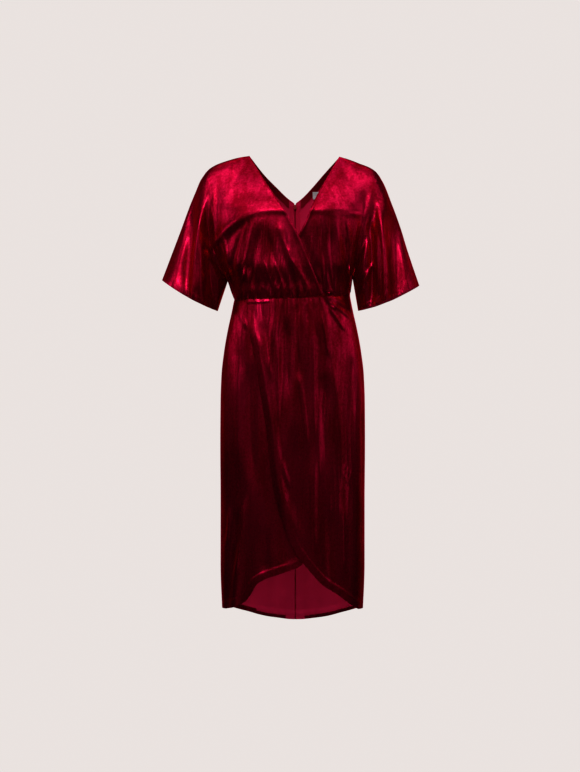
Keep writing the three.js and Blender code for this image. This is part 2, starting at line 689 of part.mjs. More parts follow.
function addBodice() {
  const [rightSleeve, leftSleeve] = [SLEEVE_FOLDS.right, SLEEVE_FOLDS.left];
  const over = frontBodice(RIGHT_SIDE, OVER_NECK, STEPS.overNeck, OVER_FOLDS, rightSleeve, noLap);
  const under = frontBodice(LEFT_SIDE, UNDER_NECK, STEPS.underNeck, UNDER_FOLDS, leftSleeve, underNeckLap);
  const panels = {
    bodice_front_right: { ...over, turn: 1, rules: [inFront, aboveWaist] },
    bodice_front_left: { ...under, turn: -1, rules: [inFront, aboveWaist] },
    bodice_back_right: { ...backBodice(RIGHT_SIDE), turn: -1, rules: [behind, aboveWaist, onSide(-1)] },
    bodice_back_left: { ...backBodice(LEFT_SIDE), turn: 1, rules: [behind, aboveWaist, onSide(1)] },
  };
  addPanels(panels, STEPS.down);
  addFacing("neck_facing_right", sheets.bodice_back_right);
  addFacing("neck_facing_left", sheets.bodice_back_left);
  addLabel(sheets.bodice_back_left);
}

// Column of a back sheet that lies at a distance from the centre back along its top line
function columnAt(sheet, distance) {
  let i = 0;
  while (Math.abs(sheet.points[i + 1][0].x) < distance) i++;
  const [a, b] = [Math.abs(sheet.points[i][0].x), Math.abs(sheet.points[i + 1][0].x)];
  return i + (distance - a) / (b - a);
}

function addFacing(name, sheet) {
  const [from, to] = [columnAt(sheet, FACING.from), STEPS.backNeck - 0.5];
  const piece = pieceOf(sheet, {
    across: 12,
    down: 2,
    column: (u) => mix(from, to, u),
    z: (edge, u, v) => edge.z - mix(FACING.below, FACING.drop, v),
  });
  const inset = CLOTH + FACING.gap;
  add(name, wall(piece, { thickness: FACING.thickness, inset, keep: behind }), FACING_VELVET);
}

function addLabel(sheet) {
  const [from, to] = [columnAt(sheet, LABEL.left), columnAt(sheet, LABEL.right)];
  const piece = pieceOf(sheet, {
    across: 3,
    down: 2,
    column: (u) => mix(from, to, u),
    z: (edge, u, v) => mix(LABEL.top, LABEL.bottom, v),
  });
  const inset = CLOTH + FACING.gap + FACING.thickness + LABEL.gap;
  add("label", wall(piece, { thickness: LABEL.thickness, inset, keep: behind }), SATIN_WHITE);
}

function addSkirt() {
  const over = frontSkirt(1, OVER_EDGE, SKIRT_FOLDS, noLap);
  const under = frontSkirt(-1, UNDER_EDGE, LOWER_FOLDS, underSkirtLap);
  const back = [behind, belowWaist];
  const { over: overSteps, under: underSteps, back: backSteps } = SKIRT_STEPS;
  const panels = {
    skirt_front_over: { place: over, across: overSteps, turn: 1, rules: [inFront, belowWaist] },
    skirt_front_under: { place: under, across: underSteps, turn: -1, rules: [inFront, belowWaist] },
    skirt_back_left: { place: backSkirt(1), across: backSteps, turn: -1, rules: [...back, onSide(1)] },
    skirt_back_right: { place: backSkirt(-1), across: backSteps, turn: 1, rules: [...back, onSide(-1)] },
  };
  addPanels(panels, SKIRT_STEPS.down);
}

// The back's outer face at the centre, from the neck down through the waist seam
function centreLineOf(bodiceSheet, skirtSheet) {
  const upper = bodiceSheet.points[0];
  const lower = skirtSheet.points[skirtSheet.across].slice(1);
  return [...upper, ...lower].map((p) => ({ y: p.y, z: p.z }));
}
function depthOn(centreLine, z) {
  const i = Math.max(1, centreLine.findIndex((p) => p.z <= z));
  const [a, b] = [centreLine[i - 1], centreLine[i]];
  return mix(a.y, b.y, (a.z - z) / (a.z - b.z));
}

// The concealed zip: a tape inside each side of the centre back, the slider at its top
function addTapes(centreLine) {
  const names = { 1: "zip_tape_left", [-1]: "zip_tape_right" };
  // The tapes have a row at each row of the panels, so that they lie along the same facets
  const inner = centreLine.map((p) => p.z).filter((z) => z < TAPE.top - 2 && z > TAPE.bottom + 2);
  const levels = [TAPE.top, ...inner, TAPE.bottom];
  const down = levels.length - 1;
  for (const sign of [1, -1]) {
    const place = (u, v) => {
      const z = levels[Math.round(v * down)];
      return [sign * mix(HALF, TAPE.width, u), depthOn(centreLine, z), z];
    };
    const sheet = sheetOf({ place, across: 1, down, turn: sign });
    const inset = CLOTH + TAPE.gap;
    add(names[sign], wall(sheet, { thickness: TAPE.thickness, inset, keep: onSide(sign) }), ZIP_TAPE);
  }
}

const wasm = await Module();
wasm.setup();
function solid(geometry) {
  const plain = geometry.index ? geometry.toNonIndexed() : geometry;
  const position = plain.getAttribute("position").array;
  const triVerts = new Uint32Array(position.length / 3).map((_, i) => i);
  const mesh = new wasm.Mesh({ numProp: 3, vertProperties: new Float32Array(position), triVerts });
  mesh.merge();
  return new wasm.Manifold(mesh);
}
function geometryOf(made) {
  const { vertProperties, triVerts } = made.getMesh();
  const geometry = new THREE.BufferGeometry();
  geometry.setAttribute("position", new THREE.BufferAttribute(new Float32Array(vertProperties), 3));
  geometry.setIndex(Array.from(triVerts));
  geometry.computeVertexNormals();
  return geometry;
}
const block = ([x0, x1], [y0, y1], [z0, z1]) => {
  const box = new THREE.BoxGeometry(x1 - x0, y1 - y0, z1 - z0);
  return solid(box.translate((x0 + x1) / 2, (y0 + y1) / 2, (z0 + z1) / 2));
};
function rod(radius, length) {
  return solid(new THREE.CylinderGeometry(radius, radius, length, 24).rotateZ(Math.PI / 2));
}

// Slider and pull are built about the pin's axis, then moved to the top of the zip
const clothOut = -SLIDER.rise;
function addSlider(at) {
  const plateIn = clothOut + 0.8;
  const clothIn = clothOut - CLOTH - TAPE.gap - TAPE.thickness;
  const bodyOut = clothIn - 0.9;
  const [w, h, n] = [SLIDER.width / 2, SLIDER.height / 2, SLIDER.neck / 2];
  const cheekFrom = PULL.neck / 2 + CHEEK.gap;
  const cheekTo = cheekFrom + CHEEK.thickness;
  const cheek = (x0, x1) => block([x0, x1], [plateIn, CHEEK.top], [-CHEEK.half, CHEEK.half]);
  const made = block([-w, w], [bodyOut - SLIDER.depth, bodyOut], [-h - 1, h - 1])
    .add(block([-n, n], [bodyOut - 1, plateIn + 0.2], [-2.5, 2.5]))
    .add(block([-cheekTo, cheekTo], [plateIn, plateIn + SLIDER.plate], [-3, 3]))
    .add(cheek(cheekFrom, cheekTo))
    .add(cheek(-cheekTo, -cheekFrom))
    .add(rod(SLIDER.pin, 2 * cheekTo - CHEEK.gap));
  add("zip_slider", geometryOf(made).translate(...at), ZIP_METAL);
}
function addPull(at) {
  const [n, w, r] = [PULL.neck / 2, PULL.width / 2, PULL.width / 2];
  const outline = new THREE.Shape();
  outline.moveTo(-n, 0);
  outline.lineTo(-n, -PULL.widens);
  outline.lineTo(-w, -PULL.widens - 4);
  outline.lineTo(-w, -PULL.length + r);
  outline.absarc(0, -PULL.length + r, r, Math.PI, 2 * Math.PI, false);
  outline.lineTo(w, -PULL.widens - 4);
  outline.lineTo(n, -PULL.widens);
  outline.lineTo(n, 0);
  outline.closePath();
  const sizes = { depth: PULL.thickness, bevelEnabled: false, curveSegments: 12 };
  const tab = new THREE.ExtrudeGeometry(outline, sizes);
  tab.translate(0, 0, -PULL.thickness / 2).rotateX(Math.PI / 2);
  const made = solid(tab).add(rod(PULL.barrel, PULL.neck)).subtract(rod(PULL.bore, PULL.neck + 2));
  add("zip_pull", geometryOf(made).translate(...at), ZIP_METAL);
}

addBodice();
addSkirt();
const centreLine = centreLineOf(sheets.bodice_back_left, sheets.skirt_back_left);
addTapes(centreLine);
const pin = [0, depthOn(centreLine, SLIDER.z) + leanOf(SLIDER.z) + SLIDER.rise, SLIDER.z];
addSlider(pin);
addPull(pin);

export default dress;
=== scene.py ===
"""A wrap dress in deep red stretch velvet, dressed and lit as in a studio photograph."""

import math
import bpy
import numpy as np
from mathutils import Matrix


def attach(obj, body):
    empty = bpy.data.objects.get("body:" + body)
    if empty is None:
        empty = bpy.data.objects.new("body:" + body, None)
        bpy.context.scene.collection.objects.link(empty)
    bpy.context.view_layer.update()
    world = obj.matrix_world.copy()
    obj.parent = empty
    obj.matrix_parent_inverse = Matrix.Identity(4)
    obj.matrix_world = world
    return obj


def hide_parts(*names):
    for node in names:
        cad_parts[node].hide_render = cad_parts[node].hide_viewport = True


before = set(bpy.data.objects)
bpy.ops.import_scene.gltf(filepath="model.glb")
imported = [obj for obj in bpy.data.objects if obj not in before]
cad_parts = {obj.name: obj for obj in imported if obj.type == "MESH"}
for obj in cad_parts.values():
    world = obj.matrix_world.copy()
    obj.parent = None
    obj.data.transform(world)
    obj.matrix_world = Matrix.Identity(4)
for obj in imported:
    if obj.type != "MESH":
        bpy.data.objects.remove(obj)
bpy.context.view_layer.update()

# Lengths are in millimetres up to the meshes, which are in metres
MM = 0.001

# The camera stands at the photograph's angle and shows 2.5 mm a pixel at the side seams
CAMERA = {"azimuth": 4.0, "distance": 4.2, "height": -0.5575, "aside": -0.00625, "sensor": 36.0}
PICTURE = {"pixels_high": 772, "mm_per_pixel": 2.5}

# The cloth's thickness, the gap between two panels at a seam, how far the centre back's turnings keep
# from its line, and how deep and over what run an under panel sinks below the one that laps it
CLOTH = 1.2
SEAM_GAP = 0.04
SEAM_GROOVE = 1.2
LAP_DEPTH = 5.0
LAP_RUN = 26.0
SKIRT_LAP_RUN = 70.0
SLEEVE_LENGTH = 250.0
# The two backs part a little at the top of the zip, between these heights
BACK_PARTS = {"by": 1.9, "from": -110.0, "to": -93.0}
TAPE = {"width": 13.0, "thickness": 0.9, "gap": 0.5, "top": -97.0, "bottom": -545.0}
COIL = {"pitch": 1.5, "radius": 0.7, "aside": 0.9, "top": -104.0, "ends": 8.0, "thread": 0.6}
FACING = {"drop": 23.0, "below": 1.2, "from": 14.6, "thickness": 0.9, "gap": 0.7}
HEM_BAND = {"width": 17.0, "height": 1.3, "edge": 3.0}
# The skirt's free edges roll in above the hem
EDGE_ROLL = {"drop": 2.2, "round": 5.0, "from": -900.0, "none_by": -980.0}
CUFF_BAND = {"width": 19.0, "height": 0.6}
# How far the outside's cloth is turned in at a hem
INNER_TURNING = 13.0
# The turning of the centre back seam below the zip: its columns of cloth, its place and its thickness
SEAM_TURNING = {"columns": 5, "gap": 0.25, "thickness": 1.5, "above": 4.0}


def table(columns, *rows):
    """Rows of numbers under named columns."""
    names = columns.split()
    return [dict(zip(names, row)) for row in rows]


TORSO = table(
    "z front back lean",
    (25, 26, 26, 10),
    (-20, 56, 62, 9),
    (-80, 89, 88, 6),
    (-126, 113, 97, 3),
    (-150, 114, 98, 1),
    (-205, 112, 97, -2),
    (-260, 109, 89, -4),
    (-310, 98, 81, -5),
    (-345, 93, 79, -5),
)
SKIRT = table(
    "z width front back lean",
    (-335, 144, 93, 79, -5),
    (-375, 152, 95, 88, -4),
    (-415, 161, 98, 99, -2),
    (-470, 171, 101, 113, 1),
    (-530, 178, 103, 123, 3),
    (-600, 180.5, 104, 126, 4),
    (-700, 181, 103, 121, 3),
    (-850, 180, 99, 112, 1),
    (-1000, 180, 96, 107, 0),
    (-1110, 176, 95, 106, 0),
    (-1160, 172, 95, 106, 0),
)
WAIST = table("x z", (-145, -344), (-70, -344), (0, -343), (75, -341), (120, -335), (146, -327))
SECTION_POWER = 2.3
SHOULDER_ROUND = 105.0
BUST = {"x": 78.0, "z": -142.0, "reach": 56.0, "height": 7.0}
# The cloth blouses out above the waist seam and puffs a little below it
BLOUSE = {"above": 20.0, "reach": 15.0, "out": 2.0, "full_by": 8.0}
HIP_PUFF = {"below": 14.0, "reach": 14.0, "out": 0.6}
# Where a form is less deep than this, at the seams, its folds flatten out
SOFT_DEPTH = 30.0
# The over panel bends out in a soft ridge along its free edge, from below the waist to above the hem
EDGE_RIDGE = {"height": 10.0, "centre": 18.0, "width": 14.0, "in_by": 110.0, "out_by": 160.0, "to": -960.0}
# The web of cloth that spans from the body to the sleeve: where it begins on the body, how softly it
# meets both, how much of it the sleeve loses, and where a sleeve's folds are full
WEB = {"from": 90.0, "to": 150.0, "blend": 10.0, "lost": 0.6, "lost_by": 0.5}
FOLDS_FROM = 0.3
# Above the underarm the body runs on a little way under the sleeve, and near the shoulder it is as
# wide as the shoulder line
UNDER_SLEEVE = {"wider": 8.0, "from": 2.0, "to": 32.0, "shoulder_from": -100.0, "shoulder_to": -50.0}
# Of the shoulder line, the share that the yoke's columns take
YOKE_SHARE = 0.58
# A cuff's dip draws the cloth in sideways by this share of it
CUFF_DRAWN_IN = 0.35

RIGHT_SIDE = {
    "sign": -1,
    "shoulder": table("x z", (-109, 20), (-134, 16), (-164, 8), (-192, -2), (-209, -12), (-219, -22)),
    "overarm": table(
        "x z", (-219, -22), (-232, -42), (-242, -66), (-257, -102), (-282, -172), (-297, -212), (-327, -292)
    ),
    "side": table("x z", (-144, -344), (-145.5, -324), (-150, -302), (-159, -285)),
    "underarm": table("x z", (-159, -285), (-188, -370)),
    "armhole": table(
        "x z", (-219, -22), (-203, -66), (-197, -140), (-194, -215), (-180, -262), (-159, -285)
    ),
    "cuff_drop": 7,
    "cuff_front": 60,
    "sleeve_run": 64,
    "web_top": 78,
    "web_foot": 36,
}
LEFT_SIDE = {
    "sign": 1,
    "shoulder": table("x z", (117, 16), (142, 8), (167, -2), (192, -12), (207, -22), (217, -34)),
    "overarm": table(
        "x z",
        (217, -34), (230, -58), (247, -102), (259, -134), (272, -172), (284, -212), (297, -252),
        (316, -308),
    ),
    "side": table("x z", (144, -327), (143.5, -316), (145.5, -302), (150, -288)),
    "underarm": table("x z", (150, -288), (164, -370)),
    "armhole": table("x z", (217, -34), (200, -76), (184, -135), (172, -196), (162, -245), (150, -288)),
    "cuff_drop": 6,
    "cuff_front": 60,
    "sleeve_run": 66,
    "web_top": 70,
    "web_foot": 42,
}
OVER_NECK = table(
    "x z", (81.5, -333), (65, -293), (44, -242), (22, -189), (-10, -131), (-38, -90), (-76, -33), (-109, 20)
)
UNDER_NECK = table(
    "x z", (-66, -334), (-40, -290), (-8, -240), (22, -189), (38, -160), (63, -98), (90, -40), (117, 16)
)
BACK_NECK = table("x z", (0, -92), (20, -77), (46, -52), (76, -22), (112, 18))
OVER_EDGE = table(
    "x z",
    (-108, -344), (-105, -401), (-92, -463), (-75, -561), (-57, -667), (-48, -755), (-36, -830),
    (-12, -909), (7, -953), (32, -989), (78, -1042), (118, -1070), (152, -1098), (166, -1108),
)
UNDER_EDGE = table(
    "x z",
    (108, -336), (100, -463), (82, -667), (62, -880), (29, -995), (1, -1008), (-32, -1020),
    (-62, -1031), (-82, -1044), (-95, -1066), (-110, -1086), (-138, -1101), (-162, -1109),
)
SIDE_HEM = -1110.0
BACK_HEM = -1155.0

# How many steps each stretch of a panel has, and how much finer the cloth is than that
STEPS = {"over": 46, "under": 26, "back": 11, "yoke": 6, "side": 4, "sleeve": 11}
FINER = {"over": 4, "under": 5, "back": 8, "yoke": 7, "side": 6, "sleeve": 6}
DOWN_CLOTH = 78
SKIRT_CLOTH = {"over": 150, "under": 90, "back": 60, "down": 130}

# The studio's pale background as it shows in the picture, and the soft lights round the dress, in
# metres and watts, each turned to a height on the dress's axis
BACKGROUND = (0.591, 0.556, 0.543, 1)
STUDIO = {"radius": 14, "floor": 10, "floor_z": -3.0}
SOFTBOXES = table(
    "x y z wide tall aim_z power",
    (0, -1.8, 1.6, 3.2, 2.0, -0.2, 4),
    (0, -0.2, 2.3, 3.0, 1.5, -0.2, 1),
    (0, -1.0, 2.4, 2.4, 0.8, 0, 12),
    (0, 0.9, 2.2, 2.4, 1.0, 0, 8),
    (-1.8, -0.8, 1.9, 1.2, 1.2, -0.1, 10),
    (1.8, -0.8, 1.9, 1.2, 1.2, -0.1, 6.3),
    (-2.3, 0.1, 0.1, 0.9, 0.6, -0.35, 1.6),
    (2.3, 0.1, 0.1, 0.9, 0.6, -0.35, 1.8),
    (-2.4, -0.8, 0.4, 0.5, 1.2, -0.3, 3.2),
    (2.4, -0.8, 0.4, 0.5, 1.2, -0.3, 1.3),
    (2.2, -1.5, -0.3, 0.7, 1.8, -0.5, 2.2),
    (-1.1, -2.4, 0.6, 0.6, 0.8, -0.2, 5.5),
    (1.1, -3.6, 0.5, 0.25, 1.2, -0.4, 1.6),
    (0, -2.6, 2.0, 0.8, 0.4, -0.1, 32),
    (0, -0.8, -2.4, 0.8, 0.4, -1.0, 9),
    (-2.0, 1.4, -0.3, 0.6, 2.6, -0.5, 1.5),
    (2.0, 1.4, -0.3, 0.6, 2.6, -0.5, 2.5),
    (-0.9, 2.4, -0.3, 0.9, 2.4, -0.5, 5),
    (0.9, 2.4, -0.3, 0.9, 2.4, -0.5, 5),
)
# The faint light from all round
AIR = {"colour": (1, 0.96, 0.95, 1), "strength": 0.003}

# Folds in the front view. Each runs from its foot to its head, bowed aside by bow at its middle.
# rise is the share of its length over which it comes up from the cloth at its foot.
FOLD = "foot foot_z head head_z bow rise wide high"
OVER_FOLDS = table(
    FOLD,
    (-134, -340, -92, -140, 6, 0, 13, 8),
    (-112, -344, -84, -190, 4, 0, 8, 5),
    (-90, -344, -70, -205, 3, 0, 7, 5),
    (-68, -344, -62, -225, 2, 0, 6, 4.5),
    (-48, -344, -58, -238, 0, 0, 6, 5.5),
    (-30, -344, -52, -235, -3, 0, 6, 4.5),
    (-11, -343, -50, -228, -5, 0, 6, 6),
    (8, -343, -30, -235, -5, 0, 6, 4.5),
    (27, -342, -28, -160, -8, 0, 7, 7),
    (46, -342, 10, -238, -4, 0, 6, 4.5),
)
UNDER_FOLDS = table(
    FOLD,
    (98, -339, 82, -255, 0, 0, 6, 4.5),
    (114, -337, 104, -235, 2, 0, 7, 5.5),
    (132, -332, 108, -165, 4, 0, 10, 7),
)
BACK_FOLDS = table(
    FOLD,
    (34, -343, 46, -250, 0, 0, 11, 4.5),
    (64, -342, 78, -225, 2, 0, 11, 5),
    (94, -340, 108, -195, 3, 0, 11, 6),
    (118, -337, 132, -170, 4, 0, 11, 5),
)
SKIRT_FOLDS = table(
    FOLD,
    (-84, -344, -72, -430, 0, 0, 6, 3),
    (-62, -344, -60, -440, 0, 0, 6, 3.5),
    (-40, -344, -56, -560, 4, 0, 7, 6),
    (-22, -344, -30, -730, -3, 0, 7, 5.5),
    (-2, -343, 4, -450, 0, 0, 6, 4),
    (22, -343, 36, -600, 5, 0, 8, 6.5),
    (42, -342, 62, -570, 4, 0, 7, 5),
    (59, -341, 74, -480, 3, 0, 6, 4.5),
    (75, -340, 96, -500, 5, 0, 7, 6),
    (88, -339, 136, -430, 8, 0, 7, 6),
    (97, -338, 158, -398, 9, 0, 7, 6),
)
LOWER_FOLDS = table(FOLD, (-142, -1110, -112, -800, 0, 0, 11, 8), (-172, -1110, -158, -830, 0, 0, 9, 5))
BACK_SKIRT_FOLDS = table(
    FOLD,
    (40, -343, 52, -430, 0, 0, 8, 3),
    (118, -1160, 96, -780, 0, 0, 18, 6),
    (46, -1160, 52, -820, 0, 0, 18, 5),
)
SLEEVE_FOLD = "top cuff wide high"
SLEEVE_FOLDS = {
    "over": table(SLEEVE_FOLD, (0.2, 0.6, 0.075, 13), (0.1, 0.2, 0.09, 5)),
    "under": table(SLEEVE_FOLD, (0.14, 0.52, 0.06, 12), (0.3, 0.72, 0.06, 8), (0.05, 0.12, 0.07, 6)),
    "back": table(SLEEVE_FOLD, (0.2, 0.4, 0.08, 9), (0.32, 0.68, 0.08, 8)),
}

# Creases in the front view, each bowed through its middle. High is above 0 on a ridge and below 0
# in a trough.
CREASE = "x z mid_x mid_z end_x end_z wide high"
OVER_CREASES = table(
    CREASE,
    (-99, -140, -121, -213, -146, -287, 4, 2.8),
    (-87, -145, -106, -238, -131, -323, 4, 2.8),
    (-28, -145, -6, -221, 25, -299, 9, 3.2),
    (-43, -240, -24, -289, -6, -338, 3, 1.8),
    (-62, -245, -50, -290, -32, -338, 3, 1.6),
    (-2, -235, 28, -284, 52, -333, 3.5, 2),
    (-110, -165, -134, -240, -150, -300, 7, -5),
    (-70, -155, -84, -240, -100, -325, 9, -4),
    (-56, -170, -38, -250, -20, -320, 7, -3.5),
    (8, -180, 22, -240, 40, -300, 5, -2),
    (-205, -240, -158, -172, -60, -128, 10, 7),
    (-165, -240, -138, -185, -95, -160, 8, -2),
    (-177, -192, -160, -213, -153, -289, 4, 3),
    (-188, -212, -176, -250, -163, -294, 8, -7),
    (-190, -60, -187, -200, -160, -296, 5, 3.5),
    (-203, -60, -206, -240, -186, -430, 12, -19),
    (-215, -50, -220, -240, -224, -430, 21, 19),
    (-246, -60, -250, -200, -257, -430, 15, -13),
    (-345, -280, -290, -312, -225, -345, 30, 8),
    (-150, -150, -60, -130, 60, -140, 8, 3),
)
UNDER_CREASES = table(
    CREASE,
    (118, -167, 125, -240, 133, -314, 4, 2.8),
    (135, -140, 145, -187, 150, -233, 4, 2.8),
    (116, -245, 113, -287, 108, -326, 4, 2),
    (84, -335, 72, -311, 64, -287, 3, 1.8),
    (84, -335, 81, -274, 77, -221, 3, 2),
    (86, -331, 96, -326, 103, -321, 4, 2.5),
    (172, -140, 150, -245, 150, -323, 5, 3),
    (122, -136, 150, -132, 188, -138, 5, 1.6),
    (128, -170, 136, -240, 143, -315, 6, -4),
    (98, -170, 104, -240, 114, -310, 8, -3.5),
    (198, -110, 201, -270, 204, -430, 11, -16),
    (227, -50, 228, -240, 236, -430, 14, 13),
    (211, -150, 214, -190, 214, -240, 4, 3),
    (252, -90, 258, -260, 264, -430, 15, -13),
    (-20, -134, 100, -130, 215, -142, 9, 3.2),
    (211, -243, 185, -290, 170, -338, 4, 4),
)
BACK_CREASES = table(
    CREASE,
    (30, -330, 40, -260, 58, -190, 5, 2.2),
    (58, -330, 70, -250, 92, -170, 6, 2.4),
    (90, -330, 108, -260, 122, -180, 5, 2.2),
    (76, -320, 90, -250, 108, -180, 7, -3),
    (44, -320, 52, -260, 70, -200, 6, -2.4),
    (112, -60, 160, -130, 164, -270, 8, 3),
    (150, -50, 186, -150, 182, -260, 9, -5),
    (206, -70, 208, -200, 200, -325, 9, -9),
    (230, -62, 231, -200, 238, -328, 8, 6),
    (254, -110, 258, -220, 266, -312, 9, -6),
)
SKIRT_CREASES = table(
    CREASE,
    (-140, -352, -85, -351, -28, -350, 3, 1.5),
    (-78, -425, -58, -487, -38, -565, 6, 3),
    (-18, -735, -10, -772, 2, -812, 5, 2.6),
    (-36, -355, -45, -460, -48, -531, 3.4, 3.8),
    (-31, -428, -28, -543, -28, -667, 3.4, 3.8),
    (28, -355, 23, -428, 30, -521, 3.4, 3.5),
    (18, -521, 33, -600, 46, -760, 6.8, 4.3),
    (55, -362, 59, -543, 59, -721, 5.1, 3.2),
    (60, -690, 57, -860, 60, -1010, 8.5, 4.1),
    (73, -355, 89, -445, 91, -482, 3.4, 3.5),
    (91, -482, 122, -620, 126, -860, 13, 3.6),
    (86, -350, 123, -370, 152, -399, 3.4, 3.8),
    (86, -353, 120, -400, 133, -423, 3.4, 3.5),
    (128, -755, 142, -767, 157, -782, 2.5, 2.6),
    (122, -765, 136, -782, 150, -802, 2.5, 2),
    (128, -836, 130, -945, 128, -1055, 6.8, 3.5),
    (-12, -380, -12, -480, -10, -620, 11, -5.8),
    (88, -520, 86, -650, 88, -820, 12, -5.1),
    (16, -640, 22, -800, 30, -960, 14, -5.1),
    (147, -480, 150, -560, 148, -680, 8, -3.5),
    (96, -850, 98, -950, 102, -1050, 10, -3.8),
)
UNDER_SKIRT_CREASES = table(
    CREASE,
    (-106, -814, -121, -931, -141, -1041, 4.2, 5.8),
    (-153, -850, -155, -909, -163, -958, 4.2, 4.3),
    (-133, -360, -119, -392, -104, -421, 6.8, 3.5),
    (-178, -620, -168, -628, -156, -632, 2.5, 2.3),
    (-96, -480, -100, -640, -84, -840, 14, -5.8),
    (-128, -850, -138, -950, -152, -1060, 8, -5.8),
    (-130, -470, -134, -640, -128, -800, 11.9, 4.3),
    (-60, -900, -62, -970, -66, -1030, 12, -4.3),
)
BACK_SKIRT_CREASES = table(
    CREASE,
    (20, -356, 32, -430, 38, -520, 4, 2.2),
    (52, -356, 62, -420, 66, -500, 5, 2.4),
    (86, -352, 100, -410, 112, -470, 5, 2.4),
    (52, -650, 56, -850, 60, -1130, 12, 3),
    (84, -640, 88, -860, 92, -1125, 12, -3),
    (120, -600, 124, -820, 128, -1110, 12, 3),
)
# Fine drapes that run down from the gathers: the finest ones' spacing, their heights on bodice and
# skirt, the width a column stands for, the heights where they come in below the chest, how far they
# keep clear of a neckline, how much wider they are on the skirt, and the length they change over there
DRAPES = {
    "finest": 7.0,
    "bodice": 3.4,
    "skirt": 2.6,
    "column": 5.0,
    "from": -132.0,
    "full": -175.0,
    "clear": 9.0,
    "skirt_wider": 1.5,
    "skirt_length": 300.0,
}
DRAPE_SIZES = table("size share", (1.0, 0.3), (2.3, 0.4), (5.1, 0.5))
# Where each panel's drapes start in their pattern, so that no two panels look alike
DRAPE_SEEDS = {"over": 1, "under": 2, "back": 3, "skirt_over": 5, "skirt_under": 6, "skirt_back": 7}
# The neckline's edge is turned and rolls up a little inside it
NECK_ROLL = {"width": 3.5, "height": 1.4, "centre": 4.0, "drop": 1.2, "round": 2.0}
# Gathers at the waist seam, and the stretches of the seam that they draw up on each panel
GATHERS = {"spacing": 9.0, "height": 0.8, "reach": 22.0, "ends": 12.0}
GATHERED = {"over": (-146, 64), "under": (56, 140), "skirt": (-52, 108), "back": (20, 130)}


def mix(a, b, k):
    """The value a share k of the way from a to b."""
    return a + (b - a) * k


def smooth(start, end, v):
    """0 up to start, 1 from end on, and an even curve between them."""
    k = np.clip((np.asarray(v, float) - start) / (end - start), 0, 1)
    return k * k * (3 - 2 * k)


def soft_max(a, b, blend):
    """The larger of two depths, rounded where they meet; the rounding ends where both come to a seam."""
    k = np.clip(2 * np.maximum(a, b), 1e-6, blend)
    h = np.clip(0.5 + 0.5 * (a - b) / k, 0, 1)
    return mix(b, a, h) + k * h * (1 - h)


def reader(rows, key, value):
    """A smooth curve through a table's rows: reads one column against another."""
    known = sorted((row[key], row[value]) for row in rows)
    xs = np.array([k[0] for k in known], float)
    ys = np.array([k[1] for k in known], float)
    rise = np.diff(ys) / np.diff(xs)
    before, after = rise[:-1], rise[1:]
    together = before * after > 0
    total = np.where(together, before + after, 1)
    inner = np.where(together, 2 * before * after / total, 0)
    slope = np.concatenate([rise[:1], inner, rise[-1:]])

    def read(at):
        at = np.clip(np.asarray(at, float), xs[0], xs[-1])
        i = np.clip(np.searchsorted(xs, at, side="right") - 1, 0, len(xs) - 2)
        span = xs[i + 1] - xs[i]
        k = (at - xs[i]) / span
        h = 1 - k
        start = ys[i] * (1 + 2 * k) * h * h + slope[i] * span * k * h * h
        return start + ys[i + 1] * (1 + 2 * h) * k * k - slope[i + 1] * span * k * k * h

    return read


def line(rows):
    """A smooth line in the front view through a table of x and z, read by its share of length."""
    p = np.array([(row["x"], row["z"]) for row in rows], float)
    if len(p) == 2:
        return lambda share: p[0] + (p[1] - p[0]) * np.clip(share, 0, 1)
    p = np.vstack([2 * p[0] - p[1], p, 2 * p[-1] - p[-2]])
    steps = np.linspace(0, 1, 24, endpoint=False)[:, None]
    pieces = []
    for a, b, c, d in zip(p, p[1:], p[2:], p[3:]):
        gap_a, gap_b, gap_c = (np.linalg.norm(n - m) ** 0.5 for m, n in ((a, b), (b, c), (c, d)))
        leave = ((b - a) / gap_a - (c - a) / (gap_a + gap_b) + (c - b) / gap_b) * gap_b
        arrive = ((c - b) / gap_b - (d - b) / (gap_b + gap_c) + (d - c) / gap_c) * gap_b
        square = -3 * b + 3 * c - 2 * leave - arrive
        cube = 2 * b - 2 * c + leave + arrive
        pieces.append(b + leave * steps + square * steps**2 + cube * steps**3)
    pieces.append(p[-2:-1])
    points = np.vstack(pieces)
    run = np.concatenate([[0], np.cumsum(np.linalg.norm(np.diff(points, axis=0), axis=1))])
    run /= run[-1]

    def read(share):
        share = np.clip(share, 0, 1)
        return np.stack([np.interp(share, run, points[:, 0]), np.interp(share, run, points[:, 1])], axis=-1)

    return read


front_depth = reader(TORSO, "z", "front")
back_depth = reader(TORSO, "z", "back")
skirt_width = reader(SKIRT, "z", "width")
skirt_front = reader(SKIRT, "z", "front")
skirt_back = reader(SKIRT, "z", "back")
lean_of = reader(TORSO[:-1] + SKIRT, "z", "lean")
waist_z = reader(WAIST, "x", "z")
over_edge_x = reader(OVER_EDGE, "z", "x")
over_neck_x = reader(OVER_NECK, "z", "x")


def fold_height(folds, x, z):
    """Height of the folds at places in the front view, each widening from its foot to its head."""
    height = np.zeros_like(x)
    for f in folds:
        dx, dz = f["head"] - f["foot"], f["head_z"] - f["foot_z"]
        length = math.hypot(dx, dz)
        along = ((x - f["foot"]) * dx + (z - f["foot_z"]) * dz) / length**2
        off = ((x - f["foot"]) * dz - (z - f["foot_z"]) * dx) / length
        inside = np.clip(along, 0, 1)
        off = off + f["bow"] * 4 * inside * (1 - inside)
        width = f["wide"] * (1 + 0.9 * inside)
        start = smooth(-0.3, 0, along) if f["rise"] == 0 else smooth(0, f["rise"], along)
        height += f["high"] * (1 - smooth(0.25, 1, along)) * start * np.exp(-((off / width) ** 2))
    return height


